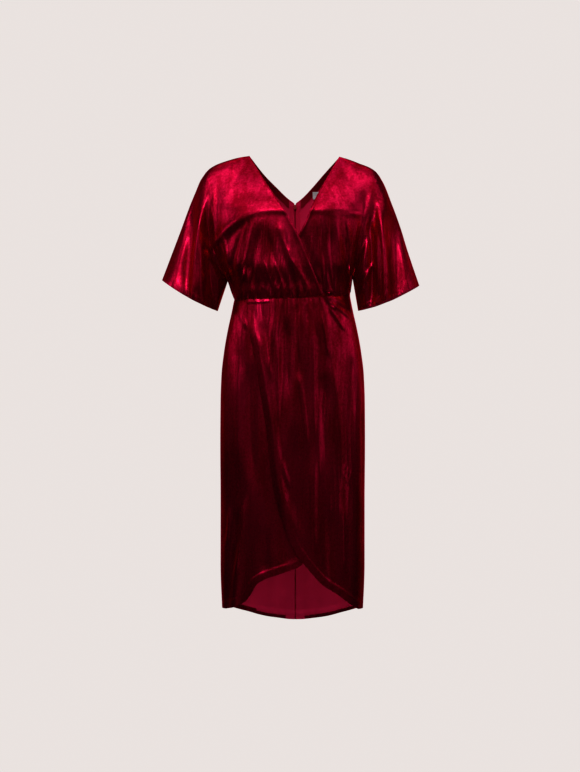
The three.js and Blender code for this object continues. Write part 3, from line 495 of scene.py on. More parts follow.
def crease_height(creases, x, z):
    """Height of the creases at places in the front view, each fading at both of its ends."""
    height = np.zeros_like(x)
    share = np.linspace(0, 1, 17)
    places = np.stack([x, z], axis=-1)[..., None, :]
    for c in creases:
        start, end = np.array([c["x"], c["z"]]), np.array([c["end_x"], c["end_z"]])
        pull = 2 * np.array([c["mid_x"], c["mid_z"]]) - (start + end) / 2
        s = share[:, None]
        path = (1 - s) ** 2 * start + 2 * s * (1 - s) * pull + s**2 * end
        low, high = path.min(axis=0) - 4 * c["wide"], path.max(axis=0) + 4 * c["wide"]
        near = (x > low[0]) & (x < high[0]) & (z > low[1]) & (z < high[1])
        if not near.any():
            continue
        step = np.diff(path, axis=0)
        off = places[near] - path[:-1]
        along = np.clip((off * step).sum(axis=-1) / (step**2).sum(axis=-1), 0, 1)
        gap = ((off - along[..., None] * step) ** 2).sum(axis=-1)
        best = gap.argmin(axis=-1)
        rows = np.arange(len(best))
        place = (best + along[rows, best]) / len(step)
        fade = smooth(0, 0.3, place) * (1 - smooth(0.65, 1, place))
        height[near] += c["high"] * fade * np.exp(-gap[rows, best] / c["wide"] ** 2)
    return height


def gather_height(x, gap, stretch):
    """Small uneven gathers that a waist seam draws up along a stretch of it, at a gap from the seam."""
    start, end = GATHERED[stretch]
    turn = 2 * math.pi * x / GATHERS["spacing"]
    uneven = np.sin(turn + 1.3 * np.sin(turn * 0.23)) + 0.6 * np.sin(turn * 0.61 + 2)
    inside = smooth(start, start + GATHERS["ends"], x) * (1 - smooth(end - GATHERS["ends"], end, x))
    return GATHERS["height"] * uneven * inside * np.exp(-gap / GATHERS["reach"])


def drapes(run, down, finest, seed):
    """Uneven sharp ridges side by side along a run, which drift as they go down. From 0 to about 1."""
    height = np.zeros(np.broadcast(run, down).shape)
    for n, row in enumerate(DRAPE_SIZES):
        turn = seed * 1.7 + n * 2.1
        drift = 0.35 * np.sin(down * 2.2 + turn * 1.3) + 0.2 * np.sin(down * 5.3 + turn)
        uneven = 1.1 * np.sin(run / (finest * 7.3) + turn)
        wave = np.abs(np.sin(np.pi * (run / (finest * row["size"]) + drift) + turn + uneven))
        strong = 0.55 + 0.45 * np.sin(run / (finest * 3.7) + turn * 2.3 + down * 2.9)
        height = height + row["share"] * strong * (1 - wave) ** 1.6
    return height


def half_width_of(side):
    """Half the body's width at a height, on one side, between the armhole line and the side seam."""
    shares = np.linspace(0, 1, 25)
    rows = np.vstack([line(side["armhole"])(shares), line(side["side"])(shares)[::-1][1:]])
    width = reader([{"x": x, "z": z} for x, z in rows], "z", "x")
    top_x = side["shoulder"][-1]["x"]
    underarm = side["armhole"][-1]["z"]

    def read(z):
        fuller = smooth(underarm + UNDER_SLEEVE["from"], underarm + UNDER_SLEEVE["to"], z)
        at_shoulder = smooth(UNDER_SLEEVE["shoulder_from"], UNDER_SLEEVE["shoulder_to"], z)
        return np.abs(mix(width(z), top_x, at_shoulder)) + UNDER_SLEEVE["wider"] * fuller

    return read


HALF_WIDTH = {-1: half_width_of(RIGHT_SIDE), 1: half_width_of(LEFT_SIDE)}
SHOULDER_TOP = {-1: reader(RIGHT_SIDE["shoulder"], "x", "z"), 1: reader(LEFT_SIDE["shoulder"], "x", "z")}


def torso_depth(x, z, depth_at):
    """Depth of the filled-out body at a place in the front view."""
    left = x >= 0
    half = np.where(left, HALF_WIDTH[1](z), HALF_WIDTH[-1](z))
    top = np.where(left, SHOULDER_TOP[1](x), SHOULDER_TOP[-1](x))
    section = (1 - np.clip(np.abs(x) / half, 0, 1) ** SECTION_POWER) ** (1 / SECTION_POWER)
    below = np.clip((top - z) / SHOULDER_ROUND, 0, 1)
    crown = np.sqrt(1 - (1 - below) ** 2)
    far = ((np.abs(x) - BUST["x"]) ** 2 + (z - BUST["z"]) ** 2) / BUST["reach"] ** 2
    bust = BUST["height"] * np.exp(-far) if depth_at is front_depth else 0
    return depth_at(z) * section * crown + bust


def blouse(x, z):
    """How far the bodice stands out over the waist seam."""
    up = z - waist_z(x)
    swell = np.exp(-(((up - BLOUSE["above"]) / BLOUSE["reach"]) ** 2))
    return BLOUSE["out"] * swell * smooth(0, BLOUSE["full_by"], up)


def puff(x, z):
    """How far the skirt stands out below the waist seam."""
    down = waist_z(x) - z
    return HIP_PUFF["out"] * np.exp(-(((down - HIP_PUFF["below"]) / HIP_PUFF["reach"]) ** 2))


def bodice_sheet(side, part, neck_rows, folds, depth_at, extra, lap=None):
    """The outer face of a bodice panel with its cut-on sleeve, as a grid of columns and rows."""
    neck, shoulder, overarm = line(neck_rows), line(side["shoulder"]), line(side["overarm"])
    side_seam, underarm, armhole = line(side["side"]), line(side["underarm"]), line(side["armhole"])
    neck_foot, yoke_foot, corner = neck_rows[0]["x"], side["shoulder"][0]["x"], side["side"][0]["x"]
    counts = [STEPS[key] for key in (part, "yoke", "side", "sleeve")]
    finer = [FINER[key] for key in (part, "yoke", "side", "sleeve")]
    ends = np.cumsum(counts)
    border = ends[2]
    chord_top, chord_foot = shoulder(1), side_seam(1)
    t = np.linspace(0, 1, DOWN_CLOTH + 1)
    ring = np.sin(np.pi * t)
    late = np.sin(np.pi * t / 2)
    both = (1 - np.cos(np.pi * t)) / 2

    def at_waist(x):
        return np.array([x, float(waist_z(x))])

    stretches = [
        (neck, lambda q: at_waist(mix(neck_foot, yoke_foot, q))),
        (
            lambda q: shoulder(q * YOKE_SHARE),
            lambda q: at_waist(mix(yoke_foot, corner, math.sin(q * math.pi / 2))),
        ),
        (lambda q: shoulder(mix(YOKE_SHARE, 1, q)), side_seam),
        (overarm, underarm),
    ]
    seed = DRAPE_SEEDS[part] + (side["sign"] if part == "back" else 0)
    columns = []
    for k, (top_of, foot_of) in enumerate(stretches):
        steps = counts[k] * finer[k]
        for n in range(0 if k == 0 else 1, steps + 1):
            q = n / steps
            column = (ends[k - 1] if k else 0) + q * counts[k]
            top, foot = top_of(q), foot_of(q)
            round_top = float(smooth(0.35, 1, column / ends[0]))
            round_foot = float(smooth(ends[0], ends[1], column))
            share = mix(mix(mix(t, late, 0.6), late, round_foot), both, round_top)
            past = column - border
            reach = past / (STEPS["side"] + 1) if past < 0 else past / (STEPS["sleeve"] * 0.45)
            bend = math.exp(-reach * reach)
            sway = bend * (armhole(share) - (chord_top + (chord_foot - chord_top) * share[:, None]))
            along = max(0.0, past / STEPS["sleeve"])
            drop = side["cuff_drop"] * np.sin(np.pi * share) * along**4
            z = mix(top[1], foot[1], share) + sway[:, 1] - drop
            x = mix(top[0], foot[0], share) + sway[:, 0] - side["sign"] * drop * CUFF_DRAWN_IN
            web = ring * mix(side["web_top"], side["web_foot"], share)
            if past <= 0:
                under_arm = smooth(ends[1] - 1, ends[1] + 2, column) * smooth(0.6, 0.82, t)
                torso = torso_depth(x, z, depth_at) * (1 - under_arm)
                depth = soft_max(torso, web * smooth(WEB["from"], WEB["to"], np.abs(x)), WEB["blend"])
                hidden = lap(x, z) if lap else 0
                height = fold_height(folds, x if depth_at is front_depth else np.abs(x), z)
                out = height * (1 - hidden) + blouse(x, z)
                depth = depth + out * np.minimum(1, depth / SOFT_DEPTH) - LAP_DEPTH * hidden
            else:
                rise = min(1.0, along * SLEEVE_LENGTH / side["sleeve_run"])
                tube = side["cuff_front"] * ring * math.sqrt(1 - (1 - rise) ** 2)
                fold = 0
                for f in SLEEVE_FOLDS[part]:
                    centre = mix(f["top"], f["cuff"], along)
                    near = np.exp(-(((share - centre) / f["wide"]) ** 2))
                    fold = fold + f["high"] * smooth(0, FOLDS_FROM, along) * ring * near
                kept = 1 - WEB["lost"] * smooth(0, WEB["lost_by"], along)
                depth = soft_max(tube, web * kept, WEB["blend"]) + fold
            run = column * DRAPES["column"]
            loose = smooth(-DRAPES["from"], -DRAPES["full"], -z) * (1 - 0.8 * smooth(0, 0.2, along))
            loose = loose * smooth(DRAPES["clear"], DRAPES["clear"] * 5, distance_to(neck, x, z))
            hanging = drapes(run, t * 3, DRAPES["finest"], seed)
            depth = depth + DRAPES["bodice"] * loose * ring**0.5 * hanging
            depth = depth + extra(x, z, along) * np.minimum(1, depth / SOFT_DEPTH)
            columns.append(np.stack([x, depth, z], axis=-1))
    return np.array(columns)


def skirt_ring(z, turn, depth_at):
    """Place and depth on the skirt at a height, turned from its left side towards its right."""
    c, s = np.cos(turn), np.sin(turn)
    power = 2 / SECTION_POWER
    return skirt_width(z) * np.sign(c) * np.abs(c) ** power, depth_at(z) * np.abs(s) ** power


def turn_at(x, z):
    """The turn round the skirt at which a place in the front view lies."""
    return np.arccos(np.sign(x) * np.minimum(1, np.abs(x) / skirt_width(z)) ** (SECTION_POWER / 2))


def down_of(v):
    """Spreads the skirt's rows, closer together at the waist and the hem."""
    return mix(v**1.35, (1 - np.cos(np.pi * v)) / 2, 0.5)


def distance_to(edge, x, z):
    """How far each place in the front view lies from an edge line."""
    path = edge(np.linspace(0, 1, 160))
    flat = np.stack([np.ravel(x), np.ravel(z)], axis=-1)
    gaps = np.linalg.norm(flat[:, None, :] - path[None, :, :], axis=-1)
    return gaps.min(axis=1).reshape(np.shape(x))


def hem_band(near):
    """The step that a turned hem makes, at a distance from its edge."""
    return HEM_BAND["height"] * (1 - smooth(HEM_BAND["width"], HEM_BAND["width"] + HEM_BAND["edge"], near))


def front_skirt_sheet(sign, part, edge_rows, folds, extra, lap=None):
    """The outer face of a front skirt panel, from its side seam to its free edge."""
    edge = line(edge_rows)
    side_top = float(waist_z(sign * float(skirt_width(0))))
    across = np.linspace(0, 1, SKIRT_CLOTH[part] + 1)[:, None]
    down = down_of(np.linspace(0, 1, SKIRT_CLOTH["down"] + 1))[None, :]
    end = edge(down[0])
    start_turn = 0 if sign > 0 else math.pi
    turn = mix(start_turn, turn_at(end[:, 0], end[:, 1])[None, :], across)
    straight = mix(side_top, edge_rows[0]["z"], across)
    at_waist = waist_z(skirt_ring(straight, turn, skirt_front)[0]) - straight
    z = mix(mix(side_top, SIDE_HEM, down), end[None, :, 1], across) + at_waist * (1 - smooth(0, 0.2, down))
    x, depth = skirt_ring(z, turn, skirt_front)
    hidden = lap(x, z) if lap else 0
    out = fold_height(folds, x, z) * (1 - hidden) + puff(x, z)
    near = distance_to(edge, x, z)
    out = out + hem_band(near)
    upper = smooth(EDGE_ROLL["none_by"], EDGE_ROLL["from"], z)
    out = out - EDGE_ROLL["drop"] * upper * (1 - smooth(0, EDGE_ROLL["round"], near)) ** 2
    out = out + extra(x, z, near)
    depth = depth + out * np.minimum(1, depth / SOFT_DEPTH) - LAP_DEPTH * hidden
    return np.stack([x, depth, z], axis=-1)


def back_hem(x):
    """Height of the back hem, which dips to the centre."""
    return mix(SIDE_HEM, BACK_HEM, 1 - (x / skirt_width(SIDE_HEM)) ** 2)


def back_skirt_sheet(sign, extra):
    """The outer face of a back skirt panel, from its side seam to the centre back."""
    across = np.linspace(0, 1, SKIRT_CLOTH["back"] + 1)[:, None]
    down = down_of(np.linspace(0, 1, SKIRT_CLOTH["down"] + 1))[None, :]
    turn = mix(0 if sign > 0 else math.pi, math.pi / 2, across) + 0 * down
    guess = skirt_ring(mix(SKIRT[0]["z"], SIDE_HEM, down) + 0 * across, turn, skirt_back)[0]
    z = mix(waist_z(guess), back_hem(guess), down)
    x, depth = skirt_ring(z, turn, skirt_back)
    out = fold_height(BACK_SKIRT_FOLDS, np.abs(x), z) + puff(x, z) + extra(x, z)
    depth = depth + out * np.minimum(1, depth / SOFT_DEPTH)
    return np.stack([x, depth, z], axis=-1)


def normals_of(grid):
    """Outward normals of a grid of points, from its neighbours on both sides."""
    cross = np.cross(np.gradient(grid, axis=0), np.gradient(grid, axis=1))
    return cross / np.maximum(np.linalg.norm(cross, axis=-1, keepdims=True), 1e-9)


def placed_object(name, data):
    """A new object with this data, in the scene."""
    made = bpy.data.objects.new(name, data)
    bpy.context.collection.objects.link(made)
    return made


def wall(name, grid, facing, materials, thickness=CLOTH, inset=0.0, keep=None, turned=()):
    """A closed wall of cloth on a grid. facing is +1 where the grid's own normals point out.

    Faces are finished with materials: the outside, the inside, and the edges.
    turned names the grid edges along which a band of the inside shows the outside's cloth.
    """
    normals = normals_of(grid) * facing
    layers = []
    for depth in (inset, inset + thickness):
        points = grid - normals * depth
        if keep:
            points = keep(points)
        points[..., 1] += lean_of(points[..., 2])
        layers.append(points)
    columns, rows = grid.shape[:2]
    half = columns * rows
    ids = np.arange(half).reshape(columns, rows)
    a, b, c, d = ids[:-1, :-1], ids[1:, :-1], ids[1:, 1:], ids[:-1, 1:]
    outer = np.stack([a, b, c, d], axis=-1).reshape(-1, 4)
    inner = np.stack([a, d, c, b], axis=-1).reshape(-1, 4) + half
    rim = []
    for run in (ids[:, 0][::-1], ids[:, -1], ids[0, :], ids[-1, :][::-1]):
        p, q = run[:-1], run[1:]
        rim.append(np.stack([p, q, q + half, p + half], axis=-1))
    rim = np.concatenate(rim)
    rim_start = len(outer) + len(inner)
    faces = np.concatenate([outer, inner, rim])
    if facing < 0:
        faces = faces[:, ::-1]
    slots = np.concatenate([np.zeros(len(outer)), np.ones(len(inner)), np.full(len(rim), 2)]).astype(int)
    inside = np.zeros((columns - 1, rows - 1), bool)
    for edge, axis in (("end", 0), ("hem", 1)):
        if edge in turned:
            length = np.linalg.norm(np.diff(grid, axis=axis), axis=-1)
            left = np.flip(np.flip(length, axis).cumsum(axis=axis), axis)
            inside |= left[: columns - 1, : rows - 1] < INNER_TURNING
    slots[len(outer) : rim_start][inside.ravel()] = 0
    vertices = np.concatenate([layer.reshape(-1, 3) for layer in layers]) * MM
    mesh = bpy.data.meshes.new(name)
    mesh.from_pydata(vertices.tolist(), [], faces.tolist())
    mesh.polygons.foreach_set("material_index", slots)
    mesh.polygons.foreach_set("use_smooth", np.ones(len(faces), bool))
    piece = placed_object(name, mesh)
    for finish in materials:
        mesh.materials.append(finish)
    sharp = np.zeros(len(mesh.edges), bool)
    keys = {tuple(sorted(edge.vertices)): n for n, edge in enumerate(mesh.edges)}
    for face in faces[rim_start:]:
        ring = face.tolist()
        for p, q in zip(ring, ring[1:] + ring[:1]):
            if (p < half) == (q < half):
                sharp[keys[tuple(sorted((p, q)))]] = True
    mesh.attributes.new("sharp_edge", "BOOLEAN", "EDGE").data.foreach_set("value", sharp)
    mesh.update()
    return piece


HALF = SEAM_GAP / 2
# At the waist the bodice's body is no wider than this to either side
BODY_REACH = 148


def keep_past(axis, sign, least):
    """A rule that keeps a wall's points at least so far to one side of the middle along an axis."""

    def rule(p):
        p[..., axis] = sign * np.maximum(sign * p[..., axis], least(p) if callable(least) else least)
        return p

    return rule


def beside_centre(p):
    """How far a back panel's points keep from the centre back, more where the backs part."""
    return HALF + BACK_PARTS["by"] * smooth(BACK_PARTS["from"], BACK_PARTS["to"], p[..., 2])


def above_waist(p):
    """Keeps the bodice above the waist seam, but not its sleeves."""
    body = np.abs(p[..., 0]) < BODY_REACH
    p[..., 2] = np.where(body, np.maximum(p[..., 2], waist_z(p[..., 0]) + HALF), p[..., 2])
    return p


def below_waist(p):
    """Keeps the skirt below the waist seam."""
    p[..., 2] = np.minimum(p[..., 2], waist_z(p[..., 0]) - HALF)
    return p


def all_of(*rules):
    """Several rules as one."""

    def rule(p):
        for one in rules:
            p = one(p)
        return p

    return rule


def front(grid):
    """Turns depths in front of the side seams into places."""
    return grid * np.array([1, -1, 1])


class Socket:
    """A node's output, so that shader maths reads as an expression."""

    def __init__(self, nodes, output):
        self.nodes = nodes
        self.output = output

    def _math(self, operation, *values):
        return self.nodes.add("ShaderNodeMath", {"operation": operation}, dict(enumerate(values)))

    def __add__(self, other):
        return self._math("ADD", self, other)

    def __mul__(self, other):
        return self._math("MULTIPLY", self, other)

    __radd__ = __add__
    __rmul__ = __mul__


class Nodes:
    """A material's node tree, filled by calls that each add one node."""

    def __init__(self, name):
        self.material = bpy.data.materials.new(name)
        self.material.use_nodes = True
        self.tree = self.material.node_tree
        self.tree.nodes.clear()
        self.shader = self.tree.nodes.new("ShaderNodeBsdfPrincipled")
        output = self.tree.nodes.new("ShaderNodeOutputMaterial")
        self.tree.links.new(self.shader.outputs[0], output.inputs[0])

    def add(self, kind, settings=None, inputs=None, output=0):
        node = self.tree.nodes.new(kind)
        for key, value in (settings or {}).items():
            setattr(node, key, value)
        for key, value in (inputs or {}).items():
            self.put(node.inputs[key], value)
        return Socket(self, node.outputs[output])

    def put(self, socket, value):
        if isinstance(value, Socket):
            self.tree.links.new(value.output, socket)
        else:
            socket.default_value = value

    def set(self, **values):
        for key, value in values.items():
            self.put(self.shader.inputs[key.replace("_", " ")], value)

    def place(self):
        return self.add("ShaderNodeTexCoord", output="Object")

    def stretched(self, scale):
        return self.add("ShaderNodeMapping", {}, {"Vector": self.place(), "Scale": scale})

    def noise(self, vector, scale, detail=2.0, roughness=0.5):
        sizes = {"Vector": vector, "Scale": scale, "Detail": detail, "Roughness": roughness}
        return self.add("ShaderNodeTexNoise", {}, sizes)

    def span(self, value, low, high, to_low=0.0, to_high=1.0):
        ends = {"Value": value, "From Min": low, "From Max": high, "To Min": to_low, "To Max": to_high}
        return self.add("ShaderNodeMapRange", {"interpolation_type": "SMOOTHSTEP"}, ends)

    def blend(self, share, a, b):
        return self.add("ShaderNodeMix", {"data_type": "RGBA"}, {0: share, 6: a, 7: b}, output=2)

    def bump(self, height, distance, strength=1.0):
        sizes = {"Height": height, "Distance": distance, "Strength": strength}
        self.put(self.shader.inputs["Normal"], self.add("ShaderNodeBump", {}, sizes))


def velvet_pile():
    """Deep red stretch velvet: nearly black seen straight on, crimson where its pile catches light."""
    n = Nodes("velvet_pile")
    patches = n.noise(n.stretched((14, 14, 6)), 1.0, 4.0, 0.6)
    streaks = n.noise(n.stretched((70, 70, 8)), 1.0, 3.0, 0.55)
    crush = n.noise(n.place(), 170.0, 4.0, 0.65)
    pile = n.noise(n.place(), 700.0, 2.0, 0.6)
    tone = n.span(patches * 0.45 + streaks * 0.25 + crush * 0.3, 0.38, 0.62)
    n.set(
        Base_Color=n.blend(tone, (0.26, 0.003, 0.022, 1), (0.61, 0.0125, 0.079, 1)),
        Roughness=n.span(tone, 0.0, 1.0, 0.43, 0.34),
        Metallic=0.97,
        Specular_IOR_Level=0.2,
        Specular_Tint=(0.8, 0.04, 0.2, 1),
        Sheen_Weight=0.12,
        Sheen_Roughness=0.4,
        Sheen_Tint=(0.9, 0.02, 0.12, 1),
    )
    n.bump(pile * 0.1 + crush * 0.3 + streaks * 0.6, 0.0014, 0.6)
    return n.material


def velvet_reverse():
    """The matt knitted back of the velvet."""
    n = Nodes("velvet_reverse")
    knit = n.add("ShaderNodeTexWave", {"bands_direction": "X"}, {"Vector": n.place(), "Scale": 260.0})
    cloud = n.noise(n.place(), 14.0, 3.0, 0.5)
    colour = n.blend(n.span(cloud, 0.35, 0.65), (0.6, 0.028, 0.1, 1), (0.68, 0.034, 0.115, 1))
    n.set(Base_Color=colour, Roughness=0.9, Specular_IOR_Level=0.15)
    n.set(Specular_Tint=(0.8, 0.05, 0.12, 1))
    n.bump(knit * 0.5 + cloud * 0.5, 0.0006, 0.4)
    return n.material


def plain_finish(name, colour, roughness, metallic=0.0, gloss=0.5, grain=300.0, depth=0.0003):
    """A finish of one colour with a fine grain."""
    n = Nodes(name)
    texture = n.noise(n.place(), grain, 3.0, 0.6)
    dark = tuple(c * 0.8 for c in colour[:3]) + (1,)
    n.set(Base_Color=n.blend(texture, dark, colour), Roughness=roughness, Metallic=metallic)
    n.set(Specular_IOR_Level=gloss)
    n.bump(texture, depth, 0.5)
    return n.material


VELVET = velvet_pile()
REVERSE = velvet_reverse()
FACING_VELVET = plain_finish("facing_velvet", (0.34, 0.004, 0.03, 1), 0.5, 0.5, grain=500.0)
COIL_NYLON = plain_finish("coil_nylon", (0.3, 0.008, 0.03, 1), 0.4)
TAPE_CLOTH = plain_finish("zip_tape_cloth", (0.62, 0.02, 0.085, 1), 0.9, gloss=0.08, grain=700.0)
ZIP_METAL = plain_finish("zip_metal", (0.5, 0.06, 0.07, 1), 0.35, 0.8)
SATIN = plain_finish("label_satin", (0.8, 0.84, 0.86, 1), 0.45, grain=600.0, depth=0.0002)


def make_stitches(name, path, spacing, long, radius, finish):
    """Short threads set along a path of places in metres, turned along it."""
    mesh = bpy.data.meshes.new(name)
    mesh.from_pydata(path, [(n, n + 1) for n in range(len(path) - 1)], [])
    piece = placed_object(name, mesh)
    tree = bpy.data.node_groups.new(name, "GeometryNodeTree")
    tree.interface.new_socket("Path", in_out="INPUT", socket_type="NodeSocketGeometry")
    inputs = {}
    for label, value in (("Spacing", spacing), ("Thread Length", long), ("Thread Radius", radius)):
        socket = tree.interface.new_socket(label, in_out="INPUT", socket_type="NodeSocketFloat")
        inputs[label] = (socket, value)
    tree.interface.new_socket("Stitches", in_out="OUTPUT", socket_type="NodeSocketGeometry")

    def node(kind, **links):
        made = tree.nodes.new(kind)
        for key, value in links.items():
            socket = made.inputs[key.replace("_", " ")]
            if isinstance(value, bpy.types.NodeSocket):
                tree.links.new(value, socket)
            else:
                socket.default_value = value
        return made

    given = tree.nodes.new("NodeGroupInput").outputs
    curve = node("GeometryNodeMeshToCurve", Mesh=given["Path"]).outputs["Curve"]
    points = tree.nodes.new("GeometryNodeCurveToPoints")
    points.mode = "LENGTH"
    tree.links.new(curve, points.inputs["Curve"])
    tree.links.new(given["Spacing"], points.inputs["Length"])
    size = {"Radius": given["Thread Radius"], "Depth": given["Thread Length"]}
    thread = node("GeometryNodeMeshCylinder", Vertices=6, **size)
    turn = tree.nodes.new("FunctionNodeAlignRotationToVector")
    turn.axis = "Z"
    tree.links.new(points.outputs["Tangent"], turn.inputs["Vector"])
    placed = node(
        "GeometryNodeInstanceOnPoints",
        Points=points.outputs["Points"],
        Instance=thread.outputs["Mesh"],
        Rotation=turn.outputs["Rotation"],
    )
    real = node("GeometryNodeRealizeInstances", Geometry=placed.outputs["Instances"])
    last = node("GeometryNodeSetMaterial", Geometry=real.outputs["Geometry"], Material=finish)
    result = tree.nodes.new("NodeGroupOutput")
    tree.links.new(last.outputs["Geometry"], result.inputs["Stitches"])
    modifier = piece.modifiers.new("stitches", "NODES")
    modifier.node_group = tree
    for socket, value in inputs.values():
        modifier[socket.identifier] = value
    shown = piece.evaluated_get(bpy.context.evaluated_depsgraph_get())
    final = bpy.data.meshes.new_from_object(shown)
    final.name = name
    piece.modifiers.remove(modifier)
    piece.data = final
    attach(piece, "dress")
    return piece


def cloth_piece(piece, node):
    """Attaches a panel to the dress and hides the solid that it stands for."""
    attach(piece, "dress")
    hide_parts(node)


def make_bodice():
    """The two fronts, the right one on top, and the two backs, each with its sleeve."""

    def under_lap(x, z):
        return 1 - smooth(0, LAP_RUN, x - over_neck_x(z))

    def cuff(along):
        start = 1 - CUFF_BAND["width"] / SLEEVE_LENGTH
        return CUFF_BAND["height"] * smooth(start - 0.01, start, along)

    def roll(x, z, neck):
        near = distance_to(neck, x, z)
        bead = NECK_ROLL["height"] * np.exp(-(((near - NECK_ROLL["centre"]) / NECK_ROLL["width"]) ** 2))
        return bead - NECK_ROLL["drop"] * (1 - smooth(0, NECK_ROLL["round"], near))

    def small_forms(part, creases, neck=None):
        """Creases, then a sleeve's cuff band, or the body's gathers and the rolled edge of its neck."""

        def height_at(x, z, along):
            place = np.abs(x) if part == "back" else x
            height = crease_height(creases, place, z)
            if along > 0:
                return height + cuff(along)
            height = height + gather_height(place, z - waist_z(x), part)
            if neck:
                height = height + roll(x, z, neck)
            shown = smooth(-4, 6, x - over_neck_x(z)) if part == "under" else 1
            return height * shown

        return height_at

    over_extra = small_forms("over", OVER_CREASES, line(OVER_NECK))
    under_extra = small_forms("under", UNDER_CREASES, line(UNDER_NECK))
    back_extra = small_forms("back", BACK_CREASES)
    over = bodice_sheet(RIGHT_SIDE, "over", OVER_NECK, OVER_FOLDS, front_depth, over_extra)
    under = bodice_sheet(LEFT_SIDE, "under", UNDER_NECK, UNDER_FOLDS, front_depth, under_extra, under_lap)
    cloth = [VELVET, REVERSE, VELVET]
    keep = all_of(keep_past(1, -1, HALF), above_waist)
    piece = wall("right_front", front(over), 1, cloth, keep=keep)
    cloth_piece(piece, "bodice_front_right")
    piece = wall("left_front", front(under), -1, cloth, keep=keep)
    cloth_piece(piece, "bodice_front_left")
    sheets = {}
    for side, facing, name in ((RIGHT_SIDE, -1, "right"), (LEFT_SIDE, 1, "left")):
        rows = [{"x": r["x"] * side["sign"], "z": r["z"]} for r in BACK_NECK[:-1]] + [side["shoulder"][0]]
        sheet = bodice_sheet(side, "back", rows, BACK_FOLDS, back_depth, back_extra)
        centre = keep_past(0, side["sign"], beside_centre)
        keep = all_of(keep_past(1, 1, HALF), above_waist, centre)
        piece = wall(f"{name}_back", sheet, facing, cloth, keep=keep)
        cloth_piece(piece, f"bodice_back_{name}")
        sheets[name] = sheet
    return sheets


def make_skirt():
    """The two front panels, the left one on top, and the two backs."""

    def under_lap(x, z):
        return smooth(-SKIRT_LAP_RUN, 0, x - over_edge_x(z))

    def hanging(x, z, part):
        down = (waist_z(x) - z) / DRAPES["skirt_length"]
        fade = (0.3 + 0.7 * smooth(0, 0.35, down)) * (1 - 0.55 * smooth(0.3, 1.6, down))
        finest = DRAPES["finest"] * DRAPES["skirt_wider"]
        return DRAPES["skirt"] * fade * drapes(x, down, finest, DRAPE_SEEDS[part])

    def within_band(near):
        return smooth(HEM_BAND["width"], 3 * HEM_BAND["width"], near)

    def over_extra(x, z, near):
        folds = crease_height(SKIRT_CREASES, x, z) + gather_height(x, waist_z(x) - z, "skirt")
        free = smooth(0, EDGE_RIDGE["in_by"], waist_z(x) - z)
        free = free * smooth(0, EDGE_RIDGE["out_by"], z - EDGE_RIDGE["to"])
        away = (x - over_edge_x(z) - EDGE_RIDGE["centre"]) / EDGE_RIDGE["width"]
        folds = folds + EDGE_RIDGE["height"] * free * np.exp(-away * away)
        return folds + hanging(x, z, "skirt_over") * within_band(near)

    def under_extra(x, z, near):
        shown = 1 - smooth(-6, 4, x - over_edge_x(z))
        creases = crease_height(UNDER_SKIRT_CREASES, x, z)
        return (creases + 0.6 * hanging(x, z, "skirt_under") * within_band(near)) * shown

    def back_extra(x, z):
        gathers = gather_height(np.abs(x), waist_z(x) - z, "back")
        creases = crease_height(BACK_SKIRT_CREASES, np.abs(x), z)
        beside_seam = smooth(16, 40, np.abs(x))
        loose = 0.7 * hanging(x, z, "skirt_back") * beside_seam
        return creases + gathers + hem_band(z - back_hem(x)) + loose

    cloth = [VELVET, REVERSE, REVERSE]
    over = front_skirt_sheet(1, "over", OVER_EDGE, SKIRT_FOLDS, over_extra)
    under = front_skirt_sheet(-1, "under", UNDER_EDGE, LOWER_FOLDS, under_extra, under_lap)
    keep = all_of(keep_past(1, -1, HALF), below_waist)
    for name, sheet, facing, area in (("over", over, 1, 0.215), ("under", under, -1, 0.225)):
        piece = wall(f"skirt_{name}", front(sheet), facing, cloth, keep=keep, turned=("end",))
        cloth_piece(piece, f"skirt_front_{name}")
    sheets = {}
    for sign, facing, name in ((1, -1, "left"), (-1, 1, "right")):
        sheet = back_skirt_sheet(sign, back_extra)
        keep = all_of(keep_past(1, 1, HALF), below_waist, keep_past(0, sign, beside_centre))
        piece = wall(f"skirt_back_{name}_cloth", sheet, facing, cloth, keep=keep, turned=("hem", "end"))
        cloth_piece(piece, f"skirt_back_{name}")
        sheets[name] = sheet
    return sheets


def centre_depth(bodice_back, skirt_back):
    """Depth of the back's centre line at a height, on the cloth's outer face."""
    rows = np.vstack([bodice_back[0], skirt_back[-1]])[:, 1:]
    order = np.argsort(rows[:, 1])
    return lambda z: np.interp(z, rows[order, 1], rows[order, 0])


